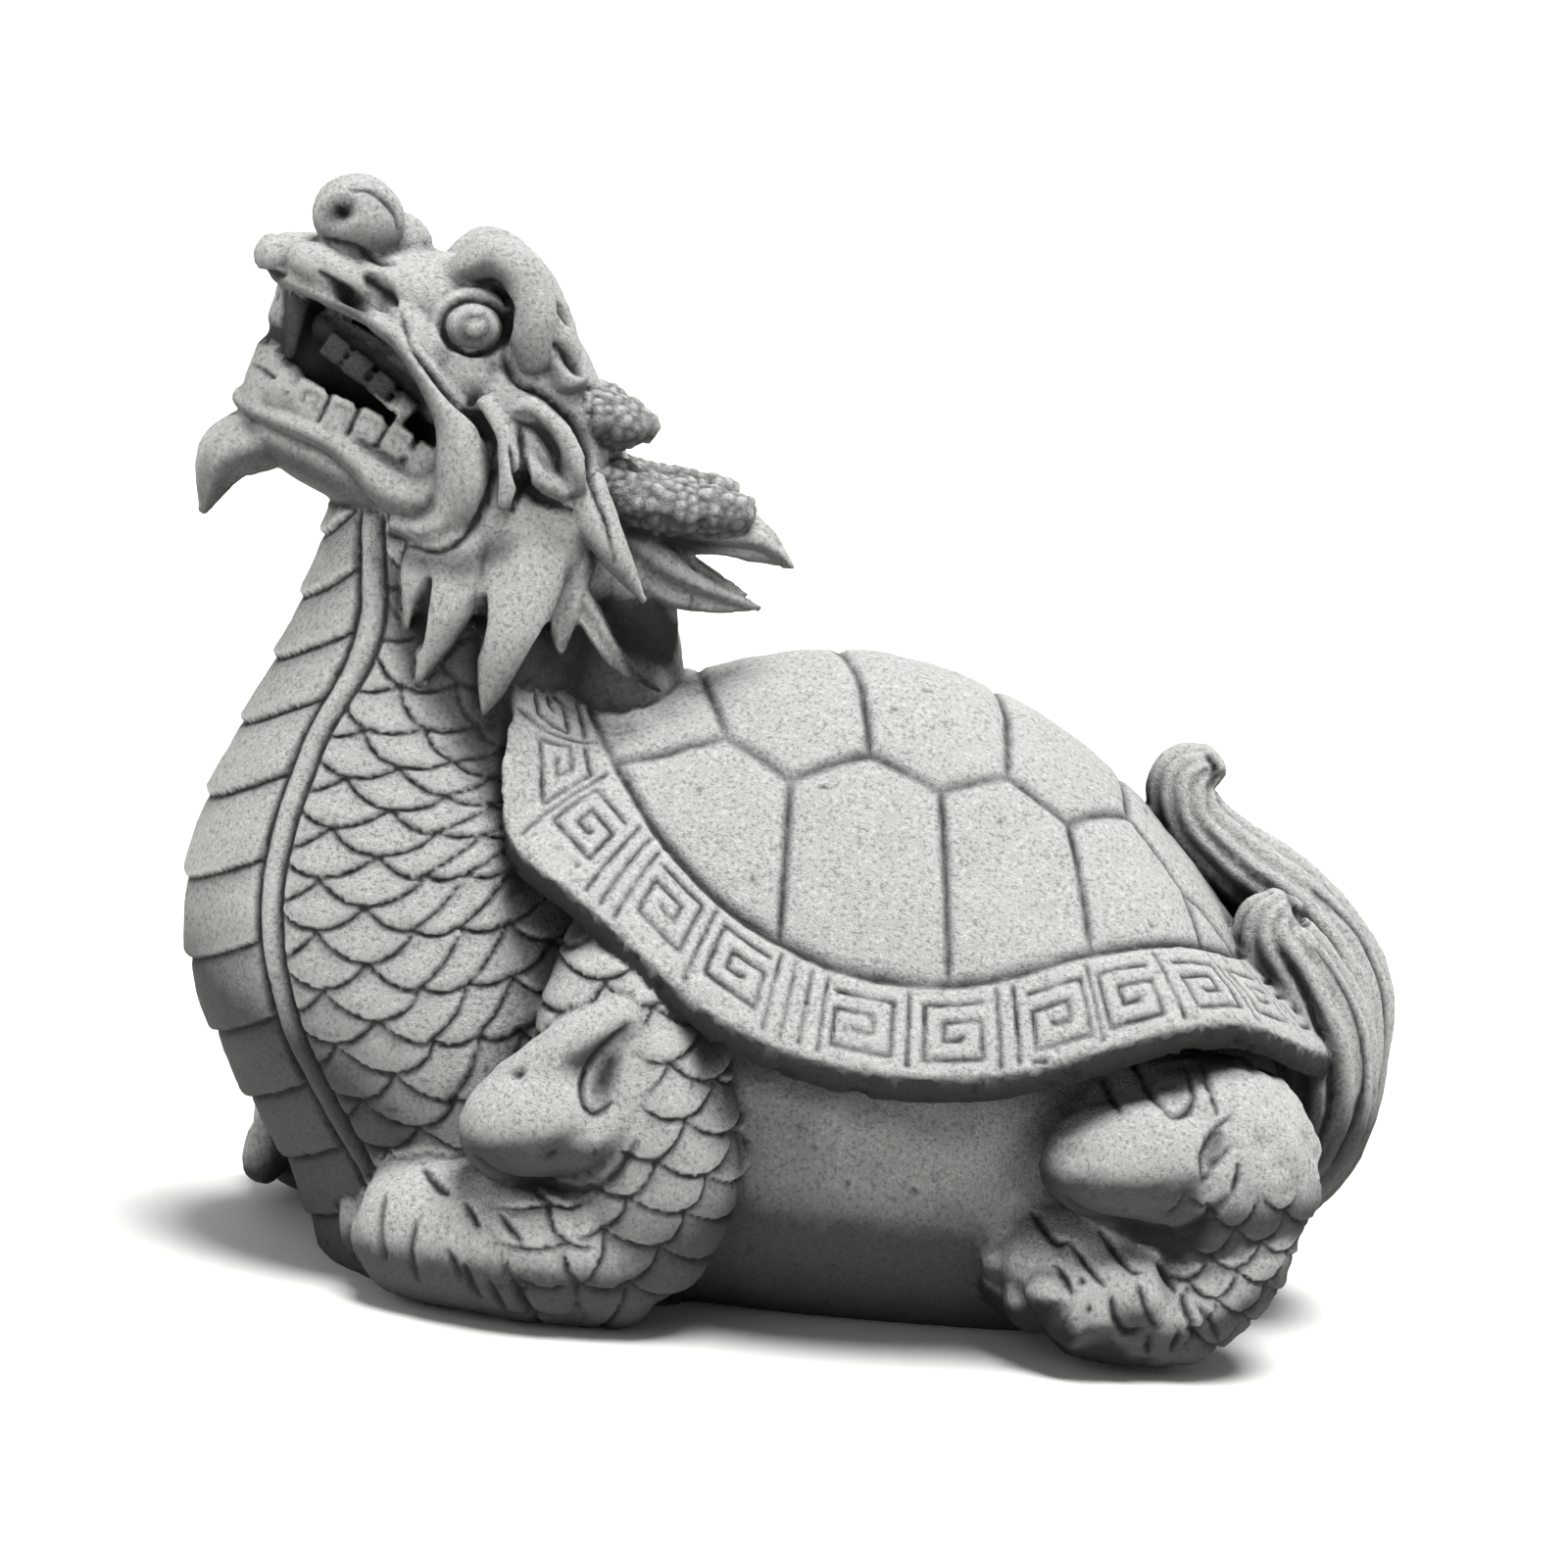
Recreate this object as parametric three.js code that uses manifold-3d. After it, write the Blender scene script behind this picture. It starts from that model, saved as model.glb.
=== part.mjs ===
// Dragon turtle figure: one solid of cast stone, lying on its belly with its head raised.
// Millimetres, +Z up. The head looks along -X, the near side is -Y, and the flat underside lies at Z = 0.
import * as THREE from "three";
import { mergeVertices } from "three/addons/utils/BufferGeometryUtils.js";
import Module from "manifold-3d";

const wasm = await Module();
wasm.setup();

// Driving sizes. The figure's free forms are written for a figure 304 long, and follow its length.
const FIGURE_LENGTH = 304;
const SCALE = FIGURE_LENGTH / 304;

const RIM_THICKNESS = 7.5; // depth of the shell's overhanging edge
const SEAM_WIDTH = 3.4; // grooves between the scutes
const SEAM_DEPTH = 1.3;
const PLATE_COUNT = 11; // breast plates from floor to jaw
const PLATE_STEP = 1.5; // how far each plate's edge stands over the next
const CORD_RADIUS = 2.6; // raised cord beside the breast plates
const SCALE_RELIEF = 1.8; // how far a scale's tip stands off the skin
const SCALE_ROWS = 9; // rows of scales up the neck
const SCALE_COLUMNS = 7;
const SCALE_FLOOR = 36; // height of the lowest row
const SCALE_START = 1.08; // turn from the neck's front, in radians, where scales begin
const SCALE_PITCH = 0.2; // turn between half scales
const TOOTH_LENGTH = 8;
const TOOTH_WIDTH = 4.4;
const TOE_COUNT = 3; // toes on each paw
const CLAW_LENGTH = 9;
const FAR_PAW_LEAD = 22; // the far front paw is set this far forward
const END_ROUNDING = 0.5; // how far a limb's end stands past its last ring, as a share of its half size
const UNDER_FLOOR = 80; // depth of the block that cuts the underside flat

const at = (x, y, z) => new THREE.Vector3(x, y, z).multiplyScalar(SCALE);
const SIDES = [-1, 1];

// A smooth value between listed stations: rows of [position, value, value, ...], sorted by position.
function stations(rows) {
  const curve = new THREE.CatmullRomCurve3(
    rows.map(([p, a, b = 0]) => new THREE.Vector3(p, a, b)),
    false,
    "catmullrom",
    0.5,
  );
  return (position) => {
    let low = 0;
    while (low < rows.length - 2 && position > rows[low + 1][0]) low += 1;
    const span = rows[low + 1][0] - rows[low][0];
    const share = Math.min(1, Math.max(0, (position - rows[low][0]) / span));
    const p = curve.getPoint((low + share) / (rows.length - 1));
    return [p.y, p.z];
  };
}

// A closed surface through rings of equal count, with a point at each end.
function skin(rings, start, end) {
  const count = rings[0].length;
  const points = [start, ...rings.flat(), end];
  const last = points.length - 1;
  const index = [];
  for (let i = 0; i < count; i += 1) {
    const j = (i + 1) % count;
    index.push(0, 1 + j, 1 + i);
    for (let r = 0; r < rings.length - 1; r += 1) {
      const [a, b] = [1 + r * count + i, 1 + r * count + j];
      index.push(a, b, b + count, a, b + count, a + count);
    }
    const base = 1 + (rings.length - 1) * count;
    index.push(last, base + i, base + j);
  }
  const g = new THREE.BufferGeometry().setFromPoints(points);
  g.setIndex(index);
  return g;
}

// One ring: an ellipse, or with a power over 2 a squarer one, about a centre.
function ring(centre, across, along, sides, power = 2) {
  return Array.from({ length: sides }, (_, i) => {
    const turn = (2 * Math.PI * i) / sides;
    const bend = (v) => Math.sign(v) * Math.abs(v) ** (2 / power);
    return centre
      .clone()
      .addScaledVector(across, bend(Math.cos(turn)))
      .addScaledVector(along, bend(Math.sin(turn)));
  });
}

// A limb: a rounded tube along a curve. Each station is [x, y, z, depth, width], where depth is the half size
// in the side view and width the half size across the figure.
function limb(rows, { sides = 8, steps = 1, power = 2 } = {}) {
  const option = [false, "catmullrom", 0.5];
  const line = new THREE.CatmullRomCurve3(
    rows.map(([x, y, z]) => at(x, y, z)),
    ...option,
  );
  const sizes = new THREE.CatmullRomCurve3(
    rows.map(([, , , depth, width]) => at(depth, width, 0)),
    ...option,
  );
  const count = (rows.length - 1) * steps;
  const rings = [];
  for (let i = 0; i <= count; i += 1) {
    const t = i / count;
    const tangent = line.getTangent(t);
    const side = new THREE.Vector3(0, 1, 0).addScaledVector(tangent, -tangent.y);
    side.normalize();
    const depth = new THREE.Vector3().crossVectors(side, tangent);
    const size = sizes.getPoint(t);
    rings.push(
      ring(
        line.getPoint(t),
        depth.multiplyScalar(size.x),
        side.multiplyScalar(size.y),
        sides,
        power,
      ),
    );
  }
  const tip = (t, sign) => {
    const size = sizes.getPoint(t);
    const reach = sign * END_ROUNDING * Math.min(size.x, size.y);
    return line.getPoint(t).addScaledVector(line.getTangent(t), reach);
  };
  return outward(skin(rings, tip(0, -1), tip(1, 1)));
}

// An egg: a sphere stretched to three half sizes and tipped in the side view.
function egg([x, y, z], [a, b, c], tip = 0, detail = 10) {
  const g = new THREE.SphereGeometry(SCALE, detail, Math.round(detail * 0.6));
  g.scale(a, b, c);
  g.rotateY(THREE.MathUtils.degToRad(tip));
  const p = at(x, y, z);
  return g.translate(p.x, p.y, p.z);
}

// Turns a surface's faces outwards.
function outward(g) {
  const p = g.getAttribute("position");
  const index = g.getIndex();
  const [a, b, c] = [0, 0, 0].map(() => new THREE.Vector3());
  let volume = 0;
  for (let i = 0; i < index.count; i += 3) {
    a.fromBufferAttribute(p, index.getX(i));
    b.fromBufferAttribute(p, index.getX(i + 1));
    c.fromBufferAttribute(p, index.getX(i + 2));
    volume += a.dot(b.cross(c));
  }
  if (volume < 0) index.array.reverse();
  return g;
}

// A closed geometry as a solid that can be joined and cut.
function solid(geometry) {
  const bare = geometry.clone();
  bare.deleteAttribute("normal");
  bare.deleteAttribute("uv");
  const merged = mergeVertices(bare, 1e-3);
  return new wasm.Manifold(
    new wasm.Mesh({
      numProp: 3,
      vertProperties: merged.getAttribute("position").array,
      triVerts: new Uint32Array(merged.getIndex().array),
    }),
  );
}

function join(solids) {
  let pile = solids;
  while (pile.length > 1) {
    const next = [];
    for (let i = 0; i < pile.length; i += 2)
      next.push(i + 1 < pile.length ? pile[i].add(pile[i + 1]) : pile[i]);
    pile = next;
  }
  return pile[0];
}

const bothSides = (make) => SIDES.map((side) => make(side));

// Neck and breast. Each row is a level slice: height, front edge, half depth, half width.
const NECK_SLICES = [
  [-6, -98, 48, 46],
  [20, -110, 54, 51],
  [40, -124, 58, 53],
  [62, -136, 60, 52],
  [85, -140, 56, 48],
  [105, -137, 49, 42],
  [125, -130, 42, 35],
  [142, -123, 38, 30],
  [158, -118, 36, 27],
  [178, -113.5, 34, 25],
];
const neckFront = stations(NECK_SLICES.map(([z, front, depth]) => [z, front, depth]));
const neckWidth = stations(NECK_SLICES.map(([z, , , width]) => [z, width]));

// A point on the neck's skin at a height, turned from the front by an angle, and pushed out by a distance.
function onNeck(z, turn, side, out = 0) {
  const [front, depth] = neckFront(z);
  const [width] = neckWidth(z);
  return [
    front + depth - (depth + out) * Math.cos(turn),
    side * (width + out) * Math.sin(turn),
    z,
  ];
}

// Where the cord runs: its turn from the front of the neck at a height.
const cordTurn = stations([
  [-6, 0.95],
  [30, 0.92],
  [60, 0.86],
  [93, 0.84],
  [126, 0.9],
  [150, 0.98],
  [178, 0.7],
]);

// The neck: a raised cord beside the breast, then sides stepped into rows of pointed scales, each row half a
// scale round from the last.
function neck() {
  const [low, high] = [NECK_SLICES[0][0], NECK_SLICES.at(-1)[0]];
  const pitch = (high - SCALE_FLOOR) / SCALE_ROWS;
  const slice = (z, row, out) => {
    const [cordAt] = cordTurn(z);
    const [width] = neckWidth(z);
    const half = CORD_RADIUS / width;
    const arc = [
      [0.45, z, -1],
      [cordAt - half, z, 0],
      [cordAt, z, CORD_RADIUS],
      [cordAt + half, z, 0],
    ];
    for (let i = 0; i < SCALE_COLUMNS; i += 1) {
      const tipped = (i + row) % 2 === 0;
      const shift = out === null ? 0 : pitch * (tipped ? -0.25 : 0.25);
      arc.push([SCALE_START + i * SCALE_PITCH, z + shift, tipped ? (out ?? 0) : 0]);
    }
    const skinned = (side) => arc.map(([turn, height, lift]) => at(...onNeck(height, turn, side, lift)));
    return [...skinned(-1).reverse(), ...skinned(1)];
  };
  const rings = [slice(low, 0, null)];
  for (let row = 0; row <= SCALE_ROWS; row += 1) {
    const z = SCALE_FLOOR + row * pitch;
    if (row > 0) rings.push(slice(z - 0.3, row - 1, 0));
    if (row < SCALE_ROWS) rings.push(slice(z, row, SCALE_RELIEF));
  }
  const [front, depth] = neckFront(high);
  return outward(
    skin(rings, at(-50, 0, low - 1), at(front + depth, 0, high + 1)),
  );
}

// The mass behind the neck that the mane lies on, down to the shell.
const nape = () =>
  limb([
    [-60, 0, 178, 22, 17],
    [-50, 0, 156, 20, 18],
    [-43, 0, 132, 19, 25],
  ]);

// The breast plates: a stack of shallow steps on the front of the neck.
function plates() {
  const [low, high] = [-4, 172];
  const pitch = (high - low) / PLATE_COUNT;
  const sides = 7;
  const rows = [];
  for (let i = 0; i < PLATE_COUNT; i += 1) {
    rows.push([low + i * pitch + 0.4, PLATE_STEP], [low + (i + 1) * pitch, 0.3]);
  }
  const rise = 9;
  const slice = ([z, out]) => {
    const arc = Array.from({ length: sides }, (_, i) => {
      const share = (2 * i) / (sides - 1) - 1;
      const turn = Math.abs(share) * cordTurn(z)[0];
      const lift = rise * share * share;
      const height = Math.min(z + lift, high + rise);
      return at(...onNeck(height, turn, Math.sign(share), out / SCALE));
    });
    const back = [arc.at(-1), arc[0]].map((p) => p.clone().add(at(22, 0, 0)));
    back.forEach((p) => p.setY(p.y * 0.7));
    return [...arc, ...back];
  };
  const rings = rows.map(slice);
  const middle = (points) =>
    points
      .reduce((sum, p) => sum.add(p), new THREE.Vector3())
      .divideScalar(points.length);
  return outward(skin(rings, middle(rings[0]), middle(rings.at(-1))));
}

// The barrel of the body, from breast to tail, squarer than an ellipse so that its sides stand to the floor.
const body = () =>
  limb(
    [
      [-60, 0, 44, 46, 48],
      [-20, 0, 46, 50, 56],
      [30, 0, 44, 52, 58],
      [80, 0, 44, 50, 57],
      [112, 0, 44, 40, 44],
      [126, 0, 44, 26, 28],
    ],
    { sides: 12, power: 2.7 },
  );

// The shell's two outlines in plan, its seam line and its outer edge, and the heights along them.
const DOME = { middle: 33, long: 85, half: 70, power: 2 };
const EDGE = { middle: 32.5, long: 107, half: 85, power: 2.2 };
const STANCE = EDGE.half / 85; // the legs stand as far out as the shell's edge does
const domeTop = stations([
  [-52, 130],
  [-28, 144.5],
  [12, 154],
  [46, 148.5],
  [72, 136],
  [92, 119],
  [118, 92],
]);
const seamHeight = stations([
  [-52, 130],
  [-48, 127],
  [-28, 108],
  [-3, 95],
  [34, 88],
  [66, 95],
  [100, 96],
  [118, 92],
]);
const edgeHeight = stations([
  [-74.5, 124],
  [-69, 112],
  [-41, 90],
  [-14, 78.5],
  [26, 70],
  [63, 78],
  [88, 82],
  [125, 72],
  [139.5, 68],
]);

function outline({ middle, long, half, power }, turn) {
  const bend = (v) => Math.sign(v) * Math.abs(v) ** (2 / power);
  return [middle + long * bend(Math.cos(turn)), half * bend(Math.sin(turn))];
}

// Height of the dome over a point in plan.
function domeHeight(x, y) {
  const share = Math.min(1, Math.abs((x - DOME.middle) / DOME.long));
  const width = DOME.half * Math.sqrt(1 - share * share);
  const onEdge = width < 1e-6 || Math.abs(y) > width * (1 - 1e-9);
  const across = onEdge ? 1 : Math.abs(y) / width;
  const [seam] = seamHeight(x);
  const [top] = domeTop(x);
  return seam + (top - seam) * (1 - across ** 1.85);
}

// Where the scutes' seams meet the dome's edge, as turns in degrees from the tail, and the steps between them.
const SEAM_ENDS = [180, 155.4, 117.3, 90, 66.8, 41.2, 28, 0];
const SEAM_STEPS = [2, 3, 3, 3, 2, 1, 2];

// The zigzag seam in plan from the front back, between the middle scutes and the side ones.
const ZIGZAG = [
  [-18.5, 27],
  [-4, 38.5],
  [14.5, 35],
  [31.3, 40.8],
  [47.8, 34.5],
  [62.5, 40],
  [79.5, 25.5],
  [93, 34],
];
// The seams over the crown: a point halfway down each and where it crosses the middle.
const CROWN_SEAMS = [
  [-22, 14, -23.5],
  [13.5, 18, 9.5],
  [49.5, 17, 49],
  [81, 12, 81.5],
];

const edgePoint = (degrees) => outline(DOME, THREE.MathUtils.degToRad(degrees));

// Plan points along the dome's edge over one of the seven stretches between seams.
function edgeStretch(i) {
  const [from, to] = [SEAM_ENDS[i], SEAM_ENDS[i + 1]];
  return Array.from({ length: SEAM_STEPS[i] + 1 }, (_, k) =>
    edgePoint(from + ((to - from) * k) / SEAM_STEPS[i]),
  );
}

// Outlines of the scutes in plan: the middle row from front to tail, then a row down each side.
function scuteOutlines() {
  const over = (points) => [...points, ...points.map(([x, y]) => [x, -y]).reverse()];
  const halfway = ([x, y], [u, v]) => [(x + u) / 2, (y + v) / 2];
  const crown = CROWN_SEAMS.map(([x, y, middle]) => [[middle, 0], [x, y]]);
  const middles = [over([...edgeStretch(0), ZIGZAG[0], crown[0][1], crown[0][0]])];
  for (let i = 0; i < 3; i += 1) {
    const [a, b] = [crown[i], crown[i + 1]];
    middles.push(over([...a, ...ZIGZAG.slice(2 * i, 2 * i + 3), b[1], b[0]]));
  }
  middles.push(over([...crown[3], ZIGZAG[6], ZIGZAG[7], ...edgeStretch(6)]));
  const down = [1, 2, 3, 4].map((i) => {
    const node = ZIGZAG[[1, 3, 5, 7][i - 1]];
    return [halfway(node, edgePoint(SEAM_ENDS[i + 1]))];
  });
  const sides = [
    [ZIGZAG[0], ...edgeStretch(1), ...down[0], ZIGZAG[1]],
    [ZIGZAG[1], ...down[0], ...edgeStretch(2), ...down[1], ZIGZAG[3], ZIGZAG[2]],
    [ZIGZAG[3], ...down[1], ...edgeStretch(3), ...down[2], ZIGZAG[5], ZIGZAG[4]],
    [ZIGZAG[5], ...down[2], ...edgeStretch(4), ...down[3], ZIGZAG[7], ZIGZAG[6]],
    [ZIGZAG[7], ...down[3], ...edgeStretch(5)],
  ];
  return [
    ...middles,
    ...sides,
    ...sides.map((points) => points.map(([x, y]) => [x, -y])),
  ];
}

// Triangles of one scute: low along its seams, up to full height a groove's half width in, then over the crown.
function scute(points) {
  const unique = points.filter(
    ([x, y], i) => !points.slice(0, i).some(([u, v]) => Math.hypot(x - u, y - v) < 1e-6),
  );
  const turned = unique.reduce((sum, [x, y], i) => {
    const [u, v] = unique[(i + 1) % unique.length];
    return sum + x * v - u * y;
  }, 0);
  const loop = turned > 0 ? unique : unique.reverse();
  const cx = loop.reduce((sum, [x]) => sum + x, 0) / loop.length;
  const cy = loop.reduce((sum, [, y]) => sum + y, 0) / loop.length;
  const inset = loop.map(([x, y]) => {
    const share = Math.min(0.4, SEAM_WIDTH / 2 / Math.hypot(cx - x, cy - y));
    const [px, py] = [x + (cx - x) * share, y + (cy - y) * share];
    return at(px, py, domeHeight(px, py));
  });
  const edge = loop.map(([x, y]) => at(x, y, domeHeight(x, y) - SEAM_DEPTH));
  const top = at(cx, cy, domeHeight(cx, cy));
  const soup = [];
  loop.forEach((_, i) => {
    const j = (i + 1) % loop.length;
    soup.push(edge[i], edge[j], inset[j], edge[i], inset[j], inset[i]);
    soup.push(inset[i], inset[j], top);
  });
  return soup;
}

// From the seam outwards: a groove, the patterned band, the edge, its underside and the way back in.
const RIM_BANDS = [
  [0, -SEAM_DEPTH, 0],
  [0.08, 0.8, 0],
  [0.55, 2.2, 0],
  [1, 0, 0],
  [0.93, -RIM_THICKNESS, 0],
  [0.3, -RIM_THICKNESS, 1],
];

function shell() {
  const half = SEAM_STEPS.flatMap((steps, i) =>
    Array.from({ length: steps }, (_, k) => {
      const [from, to] = [SEAM_ENDS[i], SEAM_ENDS[i + 1]];
      return THREE.MathUtils.degToRad(from + ((to - from) * k) / steps);
    }),
  );
  const turns = [...half.slice(1).map((turn) => -turn), 0, ...half.reverse()];
  const rings = RIM_BANDS.map(([share, lift, inside]) =>
    turns.map((turn) => {
      const [ix, iy] = outline(DOME, turn);
      const [ox, oy] = outline(EDGE, turn);
      const [high] = seamHeight(ix);
      const [low] = edgeHeight(ox);
      const z = high + (low - high) * share + lift - inside * (high - low) * 0.35;
      return at(ix + (ox - ix) * share, iy + (oy - iy) * share, z);
    }),
  );
  const under = at(DOME.middle, 0, 70);
  const soup = scuteOutlines().flatMap(scute);
  turns.forEach((_, i) => {
    const j = (i + 1) % turns.length;
    for (let r = 0; r < rings.length - 1; r += 1) {
      const [a, b] = [rings[r], rings[r + 1]];
      soup.push(a[i], b[i], b[j], a[i], b[j], a[j]);
    }
    soup.push(under, rings.at(-1)[j], rings.at(-1)[i]);
  });
  const g = new THREE.BufferGeometry().setFromPoints(soup);
  return mergeVertices(g, 1e-3);
}

// A front leg: shoulder, forearm lying on the floor, the round elbow pad and the toes.
function frontLeg(side, lead) {
  const y = (v) => side * v * STANCE;
  const x = (v) => v - lead;
  const pieces = [
    limb([
      [-32, y(48), 90, 20, 14],
      [-37, y(58), 64, 22, 18],
      [-33, y(58), 38, 23, 20],
      [x(-34), y(56), 18, 19, 20],
    ]),
    limb([
      [x(-34), y(56), 19, 18.5, 20],
      [x(-58), y(57), 18.5, 18, 19.5],
      [x(-76), y(50), 17.5, 17.5, 18],
      [x(-84), y(44), 17, 16.5, 17],
    ]),
    egg([x(-57), y(65), 49], [20, 15, 16], -30),
  ];
  for (let i = 0; i < TOE_COUNT; i += 1) {
    const across = 33 + i * 11.5;
    pieces.push(
      limb(
        [
          [x(-80), y(across), 20, 8, 7],
          [x(-90 + i * 2), y(across - 2), 17, 8, 6.6],
          [x(-94 + i * 2.5), y(across - 3), 8, 5, 5],
        ],
        { sides: 5 },
      ),
    );
  }
  return pieces;
}

// A back leg: round thigh, smooth knee, folded shank and a spread paw with claws.
function backLeg(side) {
  const y = (v) => side * v * STANCE;
  const pieces = [
    egg([97, y(58), 50], [31, 24, 30]),
    egg([80, y(72), 54], [22, 13, 15], 12),
    limb([
      [111, y(58), 42, 14, 15],
      [107, y(62), 26, 13, 15],
      [92, y(65), 15, 14, 15],
      [72, y(68), 17, 14, 16],
    ]),
  ];
  for (let i = 0; i < TOE_COUNT; i += 1) {
    const across = 58 + i * 10.5;
    const back = i * i * 2;
    pieces.push(
      limb(
        [
          [74 + back, y(across), 22, 9, 6.6],
          [58 + back, y(across), 23, 7.5, 6],
          [52 + back, y(across + 1), 18 - CLAW_LENGTH, 2.6, 2.8],
        ],
        { sides: 5 },
      ),
    );
  }
  return pieces;
}

// The tail: one tall lock curling back over the shell and a lower one on each side.
function tail() {
  const locks = [
    limb([
      [116, 0, 30, 22, 22],
      [134, 0, 46, 19, 23],
      [140, 0, 66, 16, 24],
      [140, 0, 84, 14, 20],
      [127, 0, 101, 12, 16],
      [112, 0, 111, 10.5, 13],
      [100, 0, 121, 9, 11],
      [98, 0, 130, 9, 9],
      [104, 0, 135, 5, 7],
    ]),
  ];
  for (const side of SIDES) {
    locks.push(
      limb(
        [
          [126, side * 10, 34, 14, 12],
          [134, side * 15, 52, 12, 14],
          [131, side * 18, 72, 11, 13],
          [121, side * 22, 87, 9.5, 10],
          [114, side * 23, 99, 8, 9],
          [119, side * 22, 106, 4.5, 7],
        ],
        { sides: 6 },
      ),
    );
  }
  return locks;
}

// The head's masses: skull, snout, jaw, the core behind the teeth, brows, nose scrolls and eyes.
function headMasses() {
  const pieces = [
    limb(
      [
        [-60, 0, 166, 25, 23],
        [-69, 0, 188, 25, 25],
        [-76, 0, 211, 21, 24],
        [-83, 0, 228, 14, 19],
      ],
      { sides: 10 },
    ),
    limb(
      [
        [-84, 0, 222, 18, 23],
        [-98, 0, 229, 12, 20],
        [-111, 0, 231, 9.5, 17],
        [-123, 0, 234, 8, 13],
        [-132, 0, 236.5, 5, 9],
      ],
      { sides: 10 },
    ),
    limb(
      [
        [-76, 0, 178, 13, 25],
        [-92, 0, 181, 10, 22],
        [-107, 0, 186.5, 9, 18.5],
        [-121, 0, 192, 8.5, 15],
        [-132, 0, 196, 6, 10],
      ],
      { sides: 10 },
    ),
    egg([-107, 0, 210], [25, 8, 12], 33, 8),
    egg([-107, 0, 241], [11, 8, 8], 0, 6),
    limb(
      [
        [-128, 0, 194, 8, 9],
        [-139.5, 0, 188, 7.5, 8],
        [-144, 0, 174, 1.4, 1.4],
      ],
      { sides: 6 },
    ),
  ];
  for (const side of SIDES) {
    pieces.push(
      egg([-114, side * 8, 246], [10.5, 7, 10]),
      egg([-85, side * 21, 226], [7, 6, 6.5], 0, 6),
      limb(
        [
          [-93, side * 8, 236, 4, 6],
          [-85, side * 14, 239.5, 5.5, 7],
          [-76, side * 18, 237, 6.5, 7],
          [-70, side * 20, 226, 6.5, 6],
          [-64, side * 19, 213, 5, 5],
        ],
        { sides: 6 },
      ),
    );
  }
  return pieces;
}

// Lips round the mouth's side opening, the cheek fold and the ear.
function headFolds(side) {
  const bead = (rows, radius, sides) =>
    limb(
      rows.map(([x, across, z]) => [x, side * across, z, radius, radius]),
      { sides },
    );
  return [
    bead(
      [
        [-123, 13, 227.5],
        [-110, 18, 222],
        [-98, 21, 212],
        [-92, 23, 199],
        [-94, 22, 187],
      ],
      3,
      4,
    ),
    bead(
      [
        [-94, 22, 186],
        [-108, 18, 194],
        [-124, 13, 200.5],
        [-134, 5, 203],
      ],
      3,
      4,
    ),
    bead(
      [
        [-107, 19, 228],
        [-97, 22, 218],
        [-88, 24, 205],
        [-82, 25, 192],
      ],
      5,
      5,
    ),
    egg([-67, side * 27, 198], [12, 4, 6.5], 38, 6),
  ];
}

// Teeth: rows of square pegs above and below on each side, and a long canine.
const UPPER_TEETH = [
  [-116, 16, 218],
  [-110, 17.5, 215.5],
  [-104, 19, 211.5],
  [-99, 20, 206.5],
];
const LOWER_TEETH = [
  [-123, 13.5, 204],
  [-116, 15.5, 202],
  [-109, 17.5, 198.5],
  [-102, 19, 194.5],
];

function teeth(side) {
  const peg = ([x, across, z]) => {
    const g = new THREE.BoxGeometry(TOOTH_WIDTH, TOOTH_WIDTH, TOOTH_LENGTH);
    g.rotateY(THREE.MathUtils.degToRad(-38));
    g.scale(SCALE, SCALE, SCALE);
    const p = at(x, side * across, z);
    return g.translate(p.x, p.y, p.z);
  };
  const canine = limb(
    [
      [-126, side * 10, 230, 4, 3],
      [-125, side * 11.5, 220, 3, 2.6],
      [-126, side * 12, 210, 1.2, 1.2],
    ],
    { sides: 4 },
  );
  return [...UPPER_TEETH.map(peg), ...LOWER_TEETH.map(peg), canine];
}

// The mane: flat pointed locks that fan out behind the cheek, and the knobbed horns above it.
const MANE_LOCKS = [
  [[-85, 20, 187, 9, 7], [-90, 26, 166, 8, 5], [-91, 30, 144, 0.8, 0.8]],
  [[-76, 21, 187, 12, 8], [-79, 29, 162, 9, 5], [-76, 33, 136, 0.8, 0.8]],
  [[-66, 21, 187, 12, 8], [-67, 30, 166, 10, 6], [-65, 32, 143, 0.8, 0.8]],
  [[-58, 18, 186, 13, 8], [-54, 27, 167, 11, 6], [-40, 23, 145, 1, 1]],
  [[-50, 10, 182, 13, 7], [-34, 14, 172, 10, 5], [-12, 12, 164, 1, 1]],
  [[-52, 8, 178, 14, 10], [-42, 9, 162, 12, 9], [-31, 6, 148, 3, 3]],
  [[-34, 12, 184, 7, 6], [-15, 14, 182, 5, 4], [-4, 14, 175, 0.9, 0.9]],
];
const HORNS = [
  [[-58, 9, 207, 8, 7], [-49, 12, 204, 7.5, 6], [-40, 13, 203, 2.5, 2.5]],
  [[-54, 11, 192, 10, 8], [-32, 14, 191, 7, 7], [-16, 14, 186, 4.5, 4.5]],
];

function mane(side) {
  const lock = (rows) =>
    limb(
      rows.map(([x, across, z, depth, width]) => [x, side * across, z, depth, width]),
      { sides: 4 },
    );
  return [...MANE_LOCKS, ...HORNS].map(lock);
}

function figure() {
  const added = [
    neck(),
    plates(),
    body(),
    shell(),
    nape(),
    ...tail(),
    ...headMasses(),
    ...frontLeg(-1, 0),
    ...frontLeg(1, FAR_PAW_LEAD),
    ...bothSides(backLeg).flat(),
    ...bothSides(headFolds).flat(),
    ...bothSides(teeth).flat(),
    ...bothSides(mane).flat(),
  ];
  const floor = new THREE.BoxGeometry(
    2 * FIGURE_LENGTH,
    2 * FIGURE_LENGTH,
    UNDER_FLOOR,
  ).translate(0, 0, -UNDER_FLOOR / 2);
  return join(added.map(solid))
    .subtract(solid(floor));
}

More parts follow.
